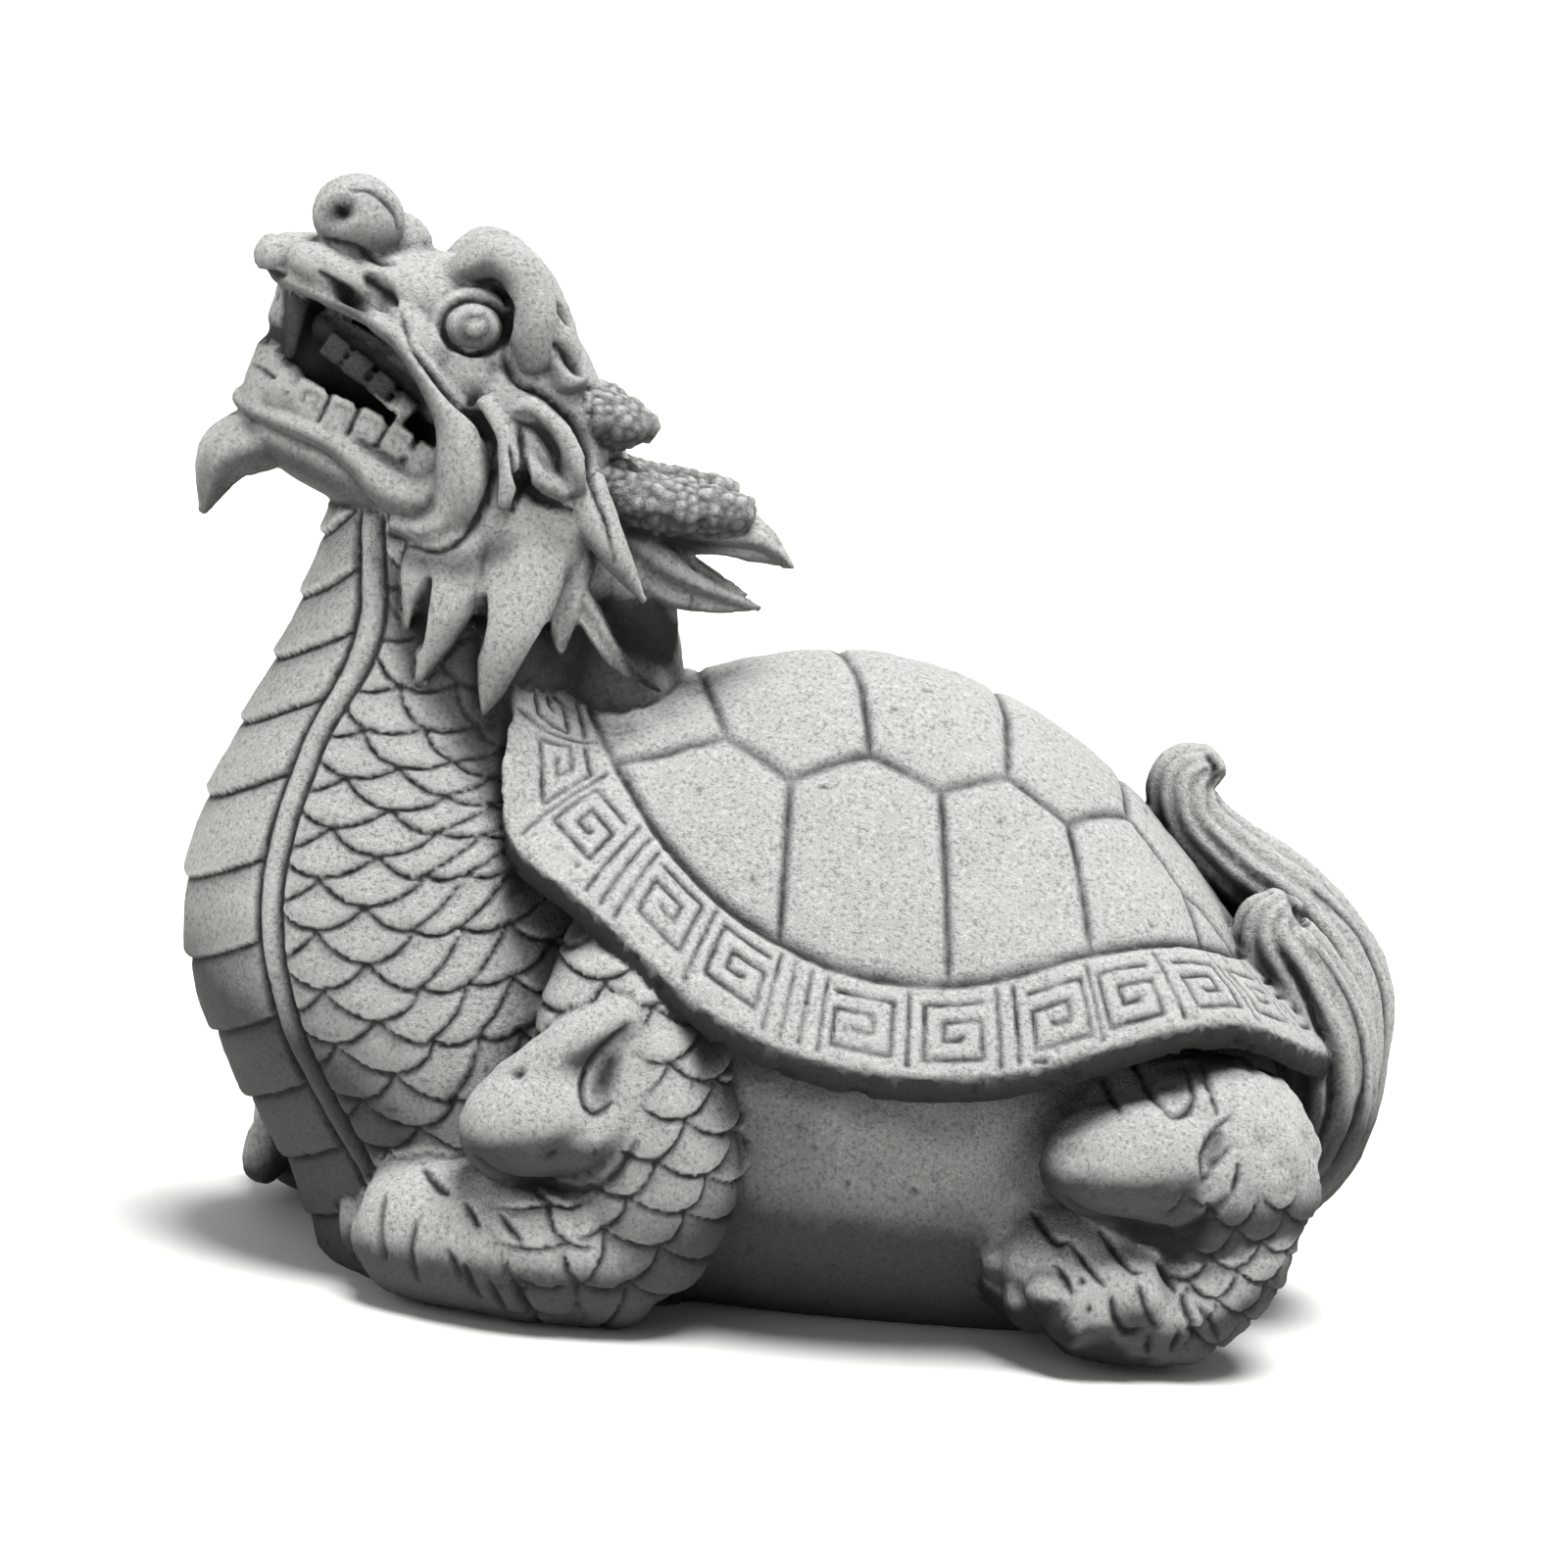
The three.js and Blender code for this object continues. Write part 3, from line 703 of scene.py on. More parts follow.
@dataclass
class Neck(Part):
    """Breast and neck: belly plates in front, a raised cord on each side, then overlapping scales."""

    # Level slices: height, front edge, half depth, half width.
    slices: Rows = (
        (-6, -98, 48, 46), (20, -110, 54, 51), (40, -124, 58, 53), (62, -136, 60, 52), (85, -140, 56, 48),
        (105, -137, 49, 42), (125, -130, 40, 34.5), (142, -123, 36, 29.5), (158, -118, 36, 27),
        (178, -113.5, 34, 25),
    )
    # Where the cord runs: height and its turn from the front, in radians.
    cord: Rows = ((-6, 0.95), (30, 0.92), (60, 0.86), (93, 0.84), (126, 0.9), (150, 0.98), (178, 0.7))
    nape: Rows = ((-60, 0, 178, 22, 17), (-50, 0, 156, 20, 15.5), (-43, 0, 132, 19, 17))
    # The breast plates' lower edges, as heights in the middle of the breast.
    plate_edges: Row = (-6, 8, 22, 36, 51, 68, 87, 107, 125, 141, 156, 171, 185)
    plate_step: float = 1.6
    plate_rise: float = 13.0
    cord_radius: float = 2.1
    cord_height: float = 1.5
    scale_width: float = 21.0
    scale_pitch: float = 6.2
    # The part that the mane hangs over, painted with its shadow.
    sheltered: Rows = (
        (-106, 172), (-103, 152), (-97, 139), (-88, 130), (-80, 119), (-72, 109), (-60, 108), (-30, 140),
        (-30, 172),
    )
    # The scales just below the mane's locks, painted with a lighter shadow.
    under_locks: Rows = ((-96, 150), (-93, 134), (-84, 123), (-74, 109), (-66, 112), (-66, 134), (-78, 147))

    def masses(self) -> list[Skin]:
        """The neck's mass and the one behind it that the mane lies on."""
        heights = np.arange(self.slices[0][0], self.slices[-1][0] + 0.1, 2.0)
        turn = np.linspace(0, 2 * math.pi, 96, endpoint=False)
        loops = []
        for z, (front, depth, width) in zip(heights, station(self.slices, heights)):
            ring = np.stack([front + depth - depth * np.cos(turn), width * np.sin(turn)], 1)
            loops.append(np.column_stack([ring, np.full(len(turn), z)]))
        ends = [loop.mean(0) + (0, 0, lift) for loop, lift in ((loops[0], -1), (loops[-1], 4))]
        return [lofted(Form.NECK, loops, *ends), Spine(self.nape).skin(Form.NECK)]

    def slice_at(self, p: Array) -> Array:
        """Front edge, half depth and half width at the points' heights."""
        return station(self.slices, np.clip(p[:, 2], self.slices[0][0], self.slices[-1][0])).T

    def turned(self, p: Array) -> Array:
        """How far round from the front points on the neck are, in radians."""
        front, depth, width = self.slice_at(p)
        return np.arctan2(np.abs(p[:, 1]) / width, (front + depth - p[:, 0]) / depth)

    def carve(self, work: Carving) -> None:
        """Cuts plates, cord and scales, carries the scales over the shoulder, and paints shade in the grooves
        and the mane's shadow on the neck.
        """
        where = work.pick(Form.NECK)
        p = work.beside(where)
        turn = self.turned(p)
        cord = self.cord_turn(p)
        off = (turn - cord) * self.slice_at(p)[2]
        self.carve_plates(work, where, p, turn / cord, off)
        band = bump(off, self.cord_radius + 0.6)
        work.lift[where] += self.cord_height * band
        for side, depth in ((-1, 0.7), (1, 0.9)):
            groove = bump(off - side * (self.cord_radius + 0.8), 1.1)
            work.lift[where] -= depth * groove
            # Painted shade in the grooves beside the cord.
            work.darken(where, 0.8 * groove)
        ease = smooth(self.cord_radius + 1.0, self.cord_radius + 2.4, off)
        ease *= 1 - smooth(-82, -72, p[:, 0]) * smooth(124, 136, p[:, 2])
        self.cut_scales(work, where, ease)
        # Painted shadow of the mane on the neck, and a lighter one just below the locks.
        ShadowPatch(self.sheltered, 0.95, 7).paint_shadow(work, where)
        ShadowPatch(self.under_locks, 0.6, 5).paint_shadow(work, where)

    def cord_turn(self, p: Array) -> Array:
        """How far round from the front the cord is at the points' heights."""
        return station(self.cord, p[:, 2])[:, 0]

    def cut_scales(self, work: Carving, where: Array, strength: Array) -> None:
        """Cuts the neck's scales into picked points, which may lie on the shoulder too."""
        p = work.beside(where)
        across, up = self.lattice(p, self.turned(p), self.cord_turn(p))
        ScaleCoat(self.scale_width, self.scale_pitch).cut(work, where, across, up, strength)

    def lattice(self, p: Array, turn: Array, cord: Array) -> tuple[Array, Array]:
        """Length from the cord and length up for the scales, whose rows fan out round the shell's front end.

        Args:
            p: points beside the middle plane.
            turn: how far round from the front they are.
            cord: how far round the cord is at their height.

        Returns:
            The length across the columns and the length up the rows.
        """
        front, depth, width = self.slice_at(p)
        middle = front + depth
        flat = (math.pi / 2 - cord) * width + p[:, 0] - middle
        across = np.where(p[:, 0] < middle, (turn - cord) * width, flat)
        high = smooth(98, 142, p[:, 2])
        beside = 0.10 * across + 0.65 * np.clip(across - 30, 0, 22) + 0.12 * np.clip(across - 52, 0, 80)
        return across, p[:, 2] + high * 0.42 * across - (1 - high) * beside

    def carve_plates(self, work: Carving, where: Array, p: Array, share: Array, off: Array) -> None:
        """Cuts the breast plates, each edge standing over the next below, with painted shade in the grooves
        and under each edge.

        Args:
            work: what is carved.
            where: the points' numbers.
            p: the points, beside the middle plane.
            share: how far round each is, 1 at the cord.
            off: length from the cord, below 0 in front of it.
        """
        edges = np.array(self.plate_edges)
        height = p[:, 2] - self.plate_rise * np.clip(share, 0, 1.2) ** 1.6
        number = np.clip(np.searchsorted(edges, height) - 1, 0, len(edges) - 2)
        pitch = edges[number + 1] - edges[number]
        part = (height - edges[number]) / pitch
        front = 1 - smooth(-self.cord_radius - 1.6, -self.cord_radius - 0.6, off)
        groove = bump((1 - part) * pitch, 1.7)
        step = self.plate_step * (1 - part) + 0.2 * part - 0.5 * bump(part * pitch, 1.0)
        work.lift[where] += front * (step - 1.1 * groove)
        # Painted shade in each groove and a soft painted shadow below each plate's edge.
        under = np.maximum(groove, 0.35 * bump((1 - part) * pitch, 6.0))
        work.darken(where, front * under)


# Body and legs


@dataclass
class Barrel(Part):
    """The belly, squarer than an ellipse so that its sides stand to the floor."""

    rows: Rows = (
        (-60, 0, 44, 46, 48), (-20, 0, 46, 50, 56), (30, 0, 44, 52, 58), (80, 0, 44, 50, 57),
        (112, 0, 44, 40, 44), (126, 0, 44, 26, 28),
    )

    def masses(self) -> list[Skin]:
        """The one mass of the belly."""
        return [Spine(self.rows, 2.0).skin(Form.BELLY, 72, 2.7)]


@dataclass
class Leg(Part):
    """What front and back legs share: a side of the figure, -1 near and 1 far."""

    side: float

    def spine(self, rows: Rows, shift: float = 0.0) -> Spine:
        """A limb's line on this leg's side, moved a shift towards the head."""
        return Spine([(x - shift, self.side * y, *rest) for x, y, *rest in rows])

    def own(self, work: Carving, *forms: Form) -> Array:
        """The points of some forms on this leg's side."""
        where = work.pick(*forms)
        return where[work.points[where, 1] * self.side > 0]


@dataclass
class FrontLeg(Leg):
    """A front leg lying on the floor: shoulder, forearm, round elbow pad and toes."""

    lead: float  # how far the leg is set forward

    def shoulder(self) -> Spine:
        """The upper arm's line, from under the shell to the floor."""
        upper = ((-32, 48, 90, 20, 14), (-37, 58, 64, 22, 18), (-33, 58, 38, 23, 20))
        return self.spine((*upper, (-34 - self.lead, 56, 18, 19, 20)))

    def forearm(self) -> Spine:
        """The forearm's line along the floor, from elbow to paw."""
        elbow, middle = (-34, 56, 19, 18.5, 20), (-58, 57, 18.5, 18, 19.5)
        wrist, paw = (-76, 50, 17.5, 17.5, 18), (-84, 44, 17, 16.5, 17)
        return self.spine((elbow, middle, wrist, paw), self.lead)

    def pad(self) -> list[Skin]:
        """The elbow's smooth pad with the two arms that hold a leaf-shaped hollow."""
        upper = ((-62, 66, 56, 8, 8), (-51, 70, 69, 6, 7), (-40, 71, 77, 4, 5))
        lower = ((-58, 67, 45, 8, 9), (-46, 71, 47, 6.5, 8), (-37, 71, 59, 4, 6))
        arms = [self.spine(rows, self.lead).skin(Form.ELBOW, 28) for rows in (upper, lower)]
        return [egg(Form.ELBOW, (-58 - self.lead, self.side * 66, 50), (19, 15, 14), -30), *arms]

    def toes(self) -> list[Skin]:
        """The three toes, which run into the paw."""
        made = []
        for i in range(3):
            y = 33 + i * 11.5
            rows = ((-80, y, 20, 8, 7), (-90 + i * 2, y - 2, 17, 8, 6.6), (-94 + i * 2.5, y - 3, 8, 5, 5))
            made.append(self.spine(rows, self.lead).skin(Form.PAW, 28))
        return made

    def masses(self) -> list[Skin]:
        """The soft masses that run into the breast."""
        arm = [self.shoulder().skin(Form.SHOULDER), self.forearm().skin(Form.FOREARM)]
        return arm + self.pad() + self.toes()

    def carve(self, work: Carving) -> None:
        """Cuts the forearm's scales, the slots on the paw and the strokes on the elbow pad, and paints the
        shadows under and on the elbow pad.
        """
        arm = self.own(work, Form.SHOULDER, Form.FOREARM)
        p = work.beside(arm)
        x = p[:, 0] + self.lead
        leaf = smooth(7, 12, np.hypot(x + 43, p[:, 2] - 62))
        low = smooth(-40, -50, x) * smooth(46, 36, p[:, 2])
        Neck().cut_scales(work, arm, (1 - low) * leaf * smooth(96, 84, p[:, 2]))
        along, angle, radius = self.forearm().place(work.points[arm])
        drop = np.abs(angle) * radius
        coat = ScaleCoat(15.0, 5.8, relief=1.4, seed=11)
        up = 90 - 0.55 * along - 0.83 * drop
        coat.cut(work, arm, 0.83 * along - 0.55 * drop, up, low * (1 - smooth(20, 32, along)))
        paw = self.own(work, Form.FOREARM, Form.PAW)
        for path, width, depth in self.slots():
            Stroke(path, width, depth, 0.2).cut(work, paw, -self.lead)
        pad = self.own(work, Form.ELBOW, Form.SHOULDER, Form.FOREARM)
        outline = [(-72, 41), (-66, 37), (-58, 35), (-47, 35), (-40, 40), (-36, 49)]
        Stroke(outline, 4.2, 1.6, 0.3, near=50).cut(work, pad, -self.lead)
        # Painted shadow on the arm under the elbow pad.
        below = [
            (-77, 46), (-71, 41), (-64, 37), (-56, 35), (-44, 35), (-37, 42), (-37, 35), (-46, 30), (-60, 30),
            (-71, 34),
        ]
        ShadowPatch(below, 0.9, 3).paint_shadow(work, self.own(work, Form.SHOULDER, Form.FOREARM), -self.lead)
        # Painted shade on the elbow pad's lower part.
        under = [
            (-81, 56), (-73, 51), (-62, 45), (-50, 43), (-38, 48), (-36, 38), (-50, 30), (-66, 30), (-81, 42),
        ]
        ShadowPatch(under, 0.55, 8).paint_shadow(work, self.own(work, Form.ELBOW), -self.lead)
        leaf_edge = [(-40, 75), (-45, 70), (-49, 63), (-49, 57), (-46, 54), (-42, 57)]
        Stroke(leaf_edge, 2.2, 1.2, near=58).cut(work, pad, -self.lead)
        Stroke([(-43, 67), (-44, 63), (-45, 59)], 7.0, 1.2, 0.9, near=60).cut(work, pad, -self.lead)
        for x, z in ((-64, 61), (-70, 65), (-55, 44)):
            Stroke([(x - 1, z), (x, z), (x + 1, z + 1)], 2.2, 1.1, 1.0, near=60).cut(work, pad, -self.lead)

    def slots(self) -> list[Cut]:
        """Slanting slots on the paw and the creases between its toes: path, width and depth."""
        return [
            ([(-89, 38), (-87, 37), (-84, 36)], 2.4, 1.1), ([(-82, 33), (-79, 31), (-76, 30)], 2.8, 1.4),
            ([(-73, 29), (-71, 27), (-69, 24)], 2.4, 1.2), ([(-65, 28), (-62, 25), (-59, 22)], 2.4, 1.2),
            ([(-76, 19), (-74, 15), (-72, 11)], 2.2, 0.9), ([(-72, 16), (-70, 11), (-67, 7)], 2.6, 1.3),
            ([(-66, 13), (-64, 9), (-61, 5)], 2.6, 1.3), ([(-61, 14), (-58, 9), (-55, 5)], 2.8, 1.4),
            ([(-90, 27), (-91, 20), (-89, 12)], 2.4, 0.8), ([(-83, 24), (-84, 16), (-81, 8)], 2.4, 0.8),
        ]


@dataclass
class BackLeg(Leg):
    """A folded back leg: round thigh, smooth knee, scaled shank and a spread paw."""

    def masses(self) -> list[Skin]:
        """The soft masses that run into the belly."""
        shank = ((111, 58, 42, 14, 15), (107, 62, 26, 13, 15), (92, 65, 15, 14, 15), (72, 68, 17, 14, 16))
        made = [
            egg(Form.THIGH, (97, self.side * 57, 47.5), (31, 24, 27.5), 0, 56),
            egg(Form.KNEE, (80, self.side * 71, 51), (22, 14, 14.5), -10),
            egg(Form.HIND_TOE, (75, self.side * 62, 20.5), (22, 16.5, 14.5), 10),
            self.spine(shank).skin(Form.SHANK),
        ]
        for i in range(3):
            y, back = 54 + i * 11, -2.5 * i * i
            rows = ((76, y, 20, 10, 7.5), (63, y, 19, 9, 7), (57, y + 1, 11, 6, 6))
            made.append(self.spine(rows, back).skin(Form.HIND_TOE, 28))
        return made

    def details(self) -> list[Skin]:
        """The claws, as round nubs."""
        places = [(56, 58, 21, 6), (63.5, 74.5, 19, 5.5)]
        return [egg(Form.HIND_TOE, (x, self.side * y, z), (long, 5.5, 5), 12) for x, y, z, long in places]

    def carve(self, work: Carving) -> None:
        """Cuts scales behind the knee, slots on the thigh and shank, and the knee's outline and leaf, and
        paints shadows under the claws, under the knee and between knee and paw.
        """
        where = self.own(work, Form.THIGH, Form.SHANK, Form.HIND_TOE, Form.KNEE)
        p = work.beside(where)
        coat = ScaleCoat(12.5, 6.0, relief=1.5, seed=21)
        heel = smooth(48, 44, p[:, 2]) * smooth(88, 93, p[:, 0] + 0.25 * p[:, 2] - 8)
        tilt = 0.35 * np.clip(p[:, 0] - 100, -30, 30)
        coat.cut(work, where, p[:, 0] + 0.2 * p[:, 2], p[:, 2] - tilt, heel)
        behind = smooth(101, 109, p[:, 0]) * smooth(44, 50, p[:, 2])
        work.lift[where] += 0.9 * behind * lumps(p, 4.5, 23)
        work.lift[where] += 0.35 * lumps(p * (0.45, 1.0, 1.3), 2.6, 24)
        for path, width, depth in self.slots():
            Stroke(path, width, depth, 0.2, near=40).cut(work, where)
        low = where[work.forms[where] != Form.KNEE]
        # Painted shadows under the claws and between knee and paw.
        for outline in self.hollows():
            ShadowPatch(outline, 1.2, 1.4).paint_shadow(work, low)
        knee = where[work.forms[where] == Form.KNEE]
        # Painted shade on the knee's underside.
        below = [(52, 60), (60, 57), (65, 50), (70, 45), (80, 41.5), (92, 41), (92, 32), (66, 33), (52, 42)]
        ShadowPatch(below, 0.62, 7).paint_shadow(work, knee)
        ridge = [(62, 55.5), (70, 59), (78, 62), (88, 65.5), (96, 68)]
        toe = [(67.5, 9.5), (70.5, 14), (74, 15), (77.5, 14), (80, 11), (87.5, 11)]
        for path, width, depth in ((ridge, 6.0, 0.9), (toe, 2.6, 1.0)):
            Stroke(path, width, depth, near=50, raised=True).cut(work, where)

    def hollows(self) -> list[Rows]:
        """Outlines of painted shadows: under the claws, and between knee and paw."""
        return [
            [
                (46, 19), (56.5, 14.5), (58, 17.5), (62, 19), (67, 19), (68, 15.5), (70, 13), (69.5, 7),
                (72.5, 10), (75, 11.5), (78.5, 11.5), (81.5, 8.5), (84, 7), (90, 7), (91, -2), (46, -2),
            ],
            [
                (54, 52), (62, 44), (74, 38), (90, 38), (100, 43), (99, 36), (93, 28), (80, 33), (73, 36),
                (63, 38),
            ],
        ]

    def slots(self) -> list[Cut]:
        """Slots on the thigh and shank and the knee's lines: path, width and depth."""
        return [
            ([(64, 43), (70, 39), (79, 36.5), (90, 37), (97, 42), (102, 47)], 3.4, 1.4),
            ([(102, 65), (97, 61), (94, 55), (95, 49)], 2.0, 0.9),
            ([(95, 49), (97, 53), (102, 59)], 1.8, 0.7), ([(99, 61), (97, 57), (96, 53)], 6.0, 0.8),
            ([(102, 47), (103, 50), (103, 54)], 2.0, 1.0), ([(80, 73), (82, 67), (86, 63)], 2.0, 0.9),
            ([(86, 63), (90, 64), (92, 67), (91, 73)], 2.0, 0.9),
            ([(95, 74), (96, 69), (98, 64)], 2.0, 0.9), ([(73, 69), (74, 65), (75, 62)], 2.0, 0.8),
            ([(60, 34), (62, 32), (64.5, 30.5), (67, 31)], 2.4, 1.4),
            ([(67, 31), (71, 27), (75, 23)], 2.2, 1.3),
            ([(74, 33.5), (77.5, 30), (81, 27), (83.5, 27)], 2.0, 1.1),
            ([(76, 22), (77, 19), (78, 16), (80.5, 13), (85, 14)], 2.6, 1.5),
            ([(82, 25), (85.5, 17.5), (88.5, 14)], 2.2, 1.3),
            ([(87.5, 28.5), (90, 25.5), (92.5, 22)], 2.0, 1.1),
            ([(93.5, 22), (96.5, 15), (99, 12)], 2.6, 1.5),
            ([(86.5, 12.5), (87, 9.5), (87.5, 7)], 2.6, 1.5),
            ([(94, 13.5), (93.5, 10.5), (93, 7.5)], 2.2, 1.2),
            ([(63, 25.5), (65, 25), (67.5, 20.5)], 2.2, 1.2), ([(69, 25), (69.5, 24), (70, 23)], 2.0, 0.9),
            ([(71, 19), (71.5, 18), (72, 17)], 2.0, 0.9), ([(97, 20), (101, 16), (104, 11)], 2.4, 1.2),
        ]


# Shell


@dataclass(frozen=True)
class Oval:
    """An outline in plan: its middle on the x axis, half length, half width and squareness."""

    middle: float
    long: float
    half: float
    power: float
    corner: float = 0.0  # how much squarer it is towards the head

    def at(self, turn: Array) -> Array:
        """Plan points at turns from the tail."""
        c, s = np.cos(turn), np.sin(turn)
        bend = 2 / (self.power + self.corner * smooth(125, 172, np.degrees(np.arccos(c))))
        x = self.middle + self.long * np.sign(c) * np.abs(c) ** bend
        return np.stack([x, self.half * np.sign(s) * np.abs(s) ** bend], -1)


@dataclass
class Shell(Part):
    """The domed shell with incised scutes over a sloping rim with key squares."""

    dome: Oval = Oval(33, 85, 70, 2)
    edge: Oval = Oval(32.5, 107.5, 85, 2.2, 0.9)
    crown: Rows = (
        (-52, 138.5), (-40, 142), (-28, 145.5), (12, 154), (46, 148.5), (72, 136), (92, 119), (118, 91),
    )
    seam: Rows = (
        (-52, 138.5), (-49, 135), (-43, 125), (-34, 113), (-21, 101.5), (-9, 95), (5, 90), (20, 88),
        (40, 89.5), (65, 97), (85, 99), (96, 97.5), (106, 94), (118, 91),
    )
    brim: Rows = (
        (-74.5, 137), (-73.5, 132), (-72.5, 126), (-71, 119), (-69.5, 112), (-66, 107.5), (-61, 104.5),
        (-53, 100), (-41, 91.5), (-27, 81.5), (-11, 74.5), (4, 71), (26, 69.5), (50, 72.5), (72, 79.5),
        (89, 84), (98, 84.5), (106, 83.5), (122, 77), (139.5, 68.5),
    )
    zigzag: Rows = (
        (-18.5, 27), (-4, 38.5), (14.5, 35), (31.3, 40.8), (47.8, 34.5), (62.5, 40), (79.5, 25.5), (93, 34),
    )
    # Seams over the crown: the corner each starts from, a point on the way and where it crosses the middle.
    crossings: Rows = ((0, -22, 14, -23.5), (2, 13.5, 18, 9.5), (4, 49.5, 17, 49), (6, 81, 12, 81.5))
    # Seams down to the dome's edge: the corner each starts from and the turn from the tail where it ends.
    descents: Rows = ((0, 155.4), (1, 117.3), (3, 90), (5, 66.8), (7, 41.2), (7, 28))
    # Key squares along the rim, as lengths from the head's middle.
    squares: Row = (-28, 22, 40, 58, 87, 108, 139, 160, 185, 203, 225, 245, 265, 285)
    square: float = 15.0
    line_pitch: float = 4.2
    thickness: float = 7.5
    notch: float = 5.0  # how far the rim is drawn back at the neck, and how far up
    notch_rise: float = 6.0
    seam_width: float = 1.9
    seam_depth: float = 1.0
    pillow: float = 0.7  # how far a scute swells between its seams
    band_depth: float = 0.95
    key_line: float = 1.2  # half widths of the cuts of the squares and of the short lines
    short_line: float = 1.0
    square_room: float = 3.2  # left free beside a square

    def edge_line(self, turn: Array) -> Array:
        """The rim's outer edge in space at turns from the tail, drawn back and up beside the neck."""
        plan = self.edge.at(turn)
        near = (1 - smooth(24, 42, np.abs(plan[:, 1]))) * (plan[:, 0] < 0)
        height = self.height(self.brim, plan[:, 0]) + self.notch_rise * near
        return np.column_stack([plan[:, 0] + self.notch * near, plan[:, 1], height])

    def height(self, table: Rows, x: Array) -> Array:
        """Height along one of the shell's lines at places along the figure."""
        return station(table, x)[:, 0]

    def dome_height(self, plan: Array) -> Array:
        """Height of the dome over points in plan."""
        share = np.clip(np.abs((plan[:, 0] - self.dome.middle) / self.dome.long), 0, 1)
        width = self.dome.half * np.sqrt(1 - share**2)
        across = np.clip(np.abs(plan[:, 1]) / np.maximum(width, 1e-6), 0, 1)
        low = self.height(self.seam, plan[:, 0])
        return low + (self.height(self.crown, plan[:, 0]) - low) * (1 - across**1.85)

    def radial(self, p: Array) -> Array:
        """How far out points are in plan, 1 at the dome's edge."""
        return ((p[:, 0] - self.dome.middle) / self.dome.long) ** 2 + (p[:, 1] / self.dome.half) ** 2

    def details(self) -> list[Skin]:
        """The shell's surface: dome, band, thick edge and underside."""
        middle = self.dome.middle
        turn = np.linspace(0, 2 * math.pi, 640, endpoint=False)
        loops = []
        for r in np.linspace(0.02, 1, 70):
            long, half = self.dome.long * r, self.dome.half * r
            plan = np.column_stack([middle + long * np.cos(turn), half * np.sin(turn)])
            loops.append(np.column_stack([plan, self.dome_height(plan)]))
        inner, rim = self.dome.at(turn), self.edge_line(turn)
        outer = rim[:, :2]
        high, low = self.height(self.seam, inner[:, 0]), rim[:, 2]
        swell = np.array([(0, -0.8), (0.06, 0.8), (0.3, 1.5), (0.6, 1.7), (0.85, 1.0), (0.95, 0.5), (1, 0)])
        rows = [(s, np.interp(s, *swell.T), 0) for s in np.linspace(0.03, 0.985, 26)]
        edge = ((1.0, -0.3), (1.003, -1.5), (1.0, -3), (0.995, -4.5), (0.98, -6), (0.95, -7.2))
        rows += [(share, down, 0) for share, down in edge]
        rows += [(share, -self.thickness, inside) for share, inside in ((0.9, 0.02), (0.6, 0.5), (0.3, 1))]
        for share, lift, inside in rows:
            plan = inner + (outer - inner) * share
            z = high + (low - high) * share + lift - inside * (high - low) * 0.35
            loops.append(np.column_stack([plan, z]))
        top = np.array([middle, 0, self.dome_height(np.array([[middle, 0.0]]))[0]])
        return [lofted(Form.SHELL, loops, top, np.array([middle, 0, 70.0]))]

    def seams(self) -> list[Array]:
        """The seams between the scutes, in plan on one side of the middle."""
        corner = np.array(self.zigzag, float)
        lines = [corner]
        for start, x, y, middle in self.crossings:
            lines.append(np.array([corner[int(start)], (x, y), (middle, 0)], float))
        for start, turn in self.descents:
            end = self.dome.at(np.array([math.radians(turn)]))[0]
            lines.append(np.array([corner[int(start)], end], float))
        return lines

    def key(self, p: Array, q: Array, flip: bool) -> Array:
        """How near points in a key square are to its square spiral.

        Args:
            p: place along the rim from the square's middle, as a share of its half size.
            q: place across the rim, as the same share.
            flip: True for a spiral that turns the other way.

        Returns:
            The distance to the spiral, as the same share.
        """
        turn = -1 if flip else 1
        path = [(-0.9, 0.92), (0.9, 0.92), (0.9, -0.9), (-0.85, -0.9), (-0.85, 0.3)]
        path += [(0.32, 0.3), (0.32, -0.32), (-0.2, -0.32), (-0.26, -0.22)]
        line = np.array([(turn * a, b) for a, b in path])
        return near_path(np.stack([p, q], 1), line)[0]

    def carve(self, work: Carving) -> None:
        """Cuts the scutes' seams, the key squares and lines, wears the rim's edge, and paints shade in the
        cuts and under the rim.
        """
        where = work.pick(Form.SHELL)
        p = work.beside(where)
        plan = p[:, :2]
        half = np.linspace(0, math.pi, 181)
        inner, rim = self.dome.at(half), self.edge_line(half)
        outer = rim[:, :2]
        rise = [self.height(self.seam, inner[:, 0]), rim[:, 2]]
        middle = np.column_stack([(inner + outer) / 2, np.mean(rise, axis=0)])[::-1]
        wide = np.hypot(np.hypot(*(outer - inner).T), rise[0] - rise[1])[::-1]
        radial = self.radial(p)
        near, _ = near_path(plan, inner)
        far, _ = near_path(plan, outer)
        top = work.normals[where, 2] > 0.1
        on_dome = top & (radial < 1.02)
        gap = np.full(len(where), 99.0)
        for line in self.seams():
            away, _ = near_path(plan, line)
            gap = np.minimum(gap, away)
        groove = bump(gap, self.seam_width) * on_dome
        swell = self.pillow * (1 - np.exp(-np.minimum(gap, near) / 4.0)) * on_dome
        ring = bump(near, 1.9) * top
        wear = 0.75 + 0.25 * lumps(work.points[where], 9, 31)
        work.lift[where] += swell - wear * self.seam_depth * np.maximum(groove, 0.9 * ring)
        # Painted shade in the seams and along the dome's edge.
        work.darken(where, wear * np.maximum(0.6 * groove, 0.8 * ring))
        band = np.flatnonzero(top & (radial >= 1.0) & (near + far > 0))
        across = near[band] / (near[band] + far[band])
        self.carve_band(work, where[band], plan[band], across, middle, wide)
        self.chip_and_shade_edge(work, where, far)
        self.shade_below(work)

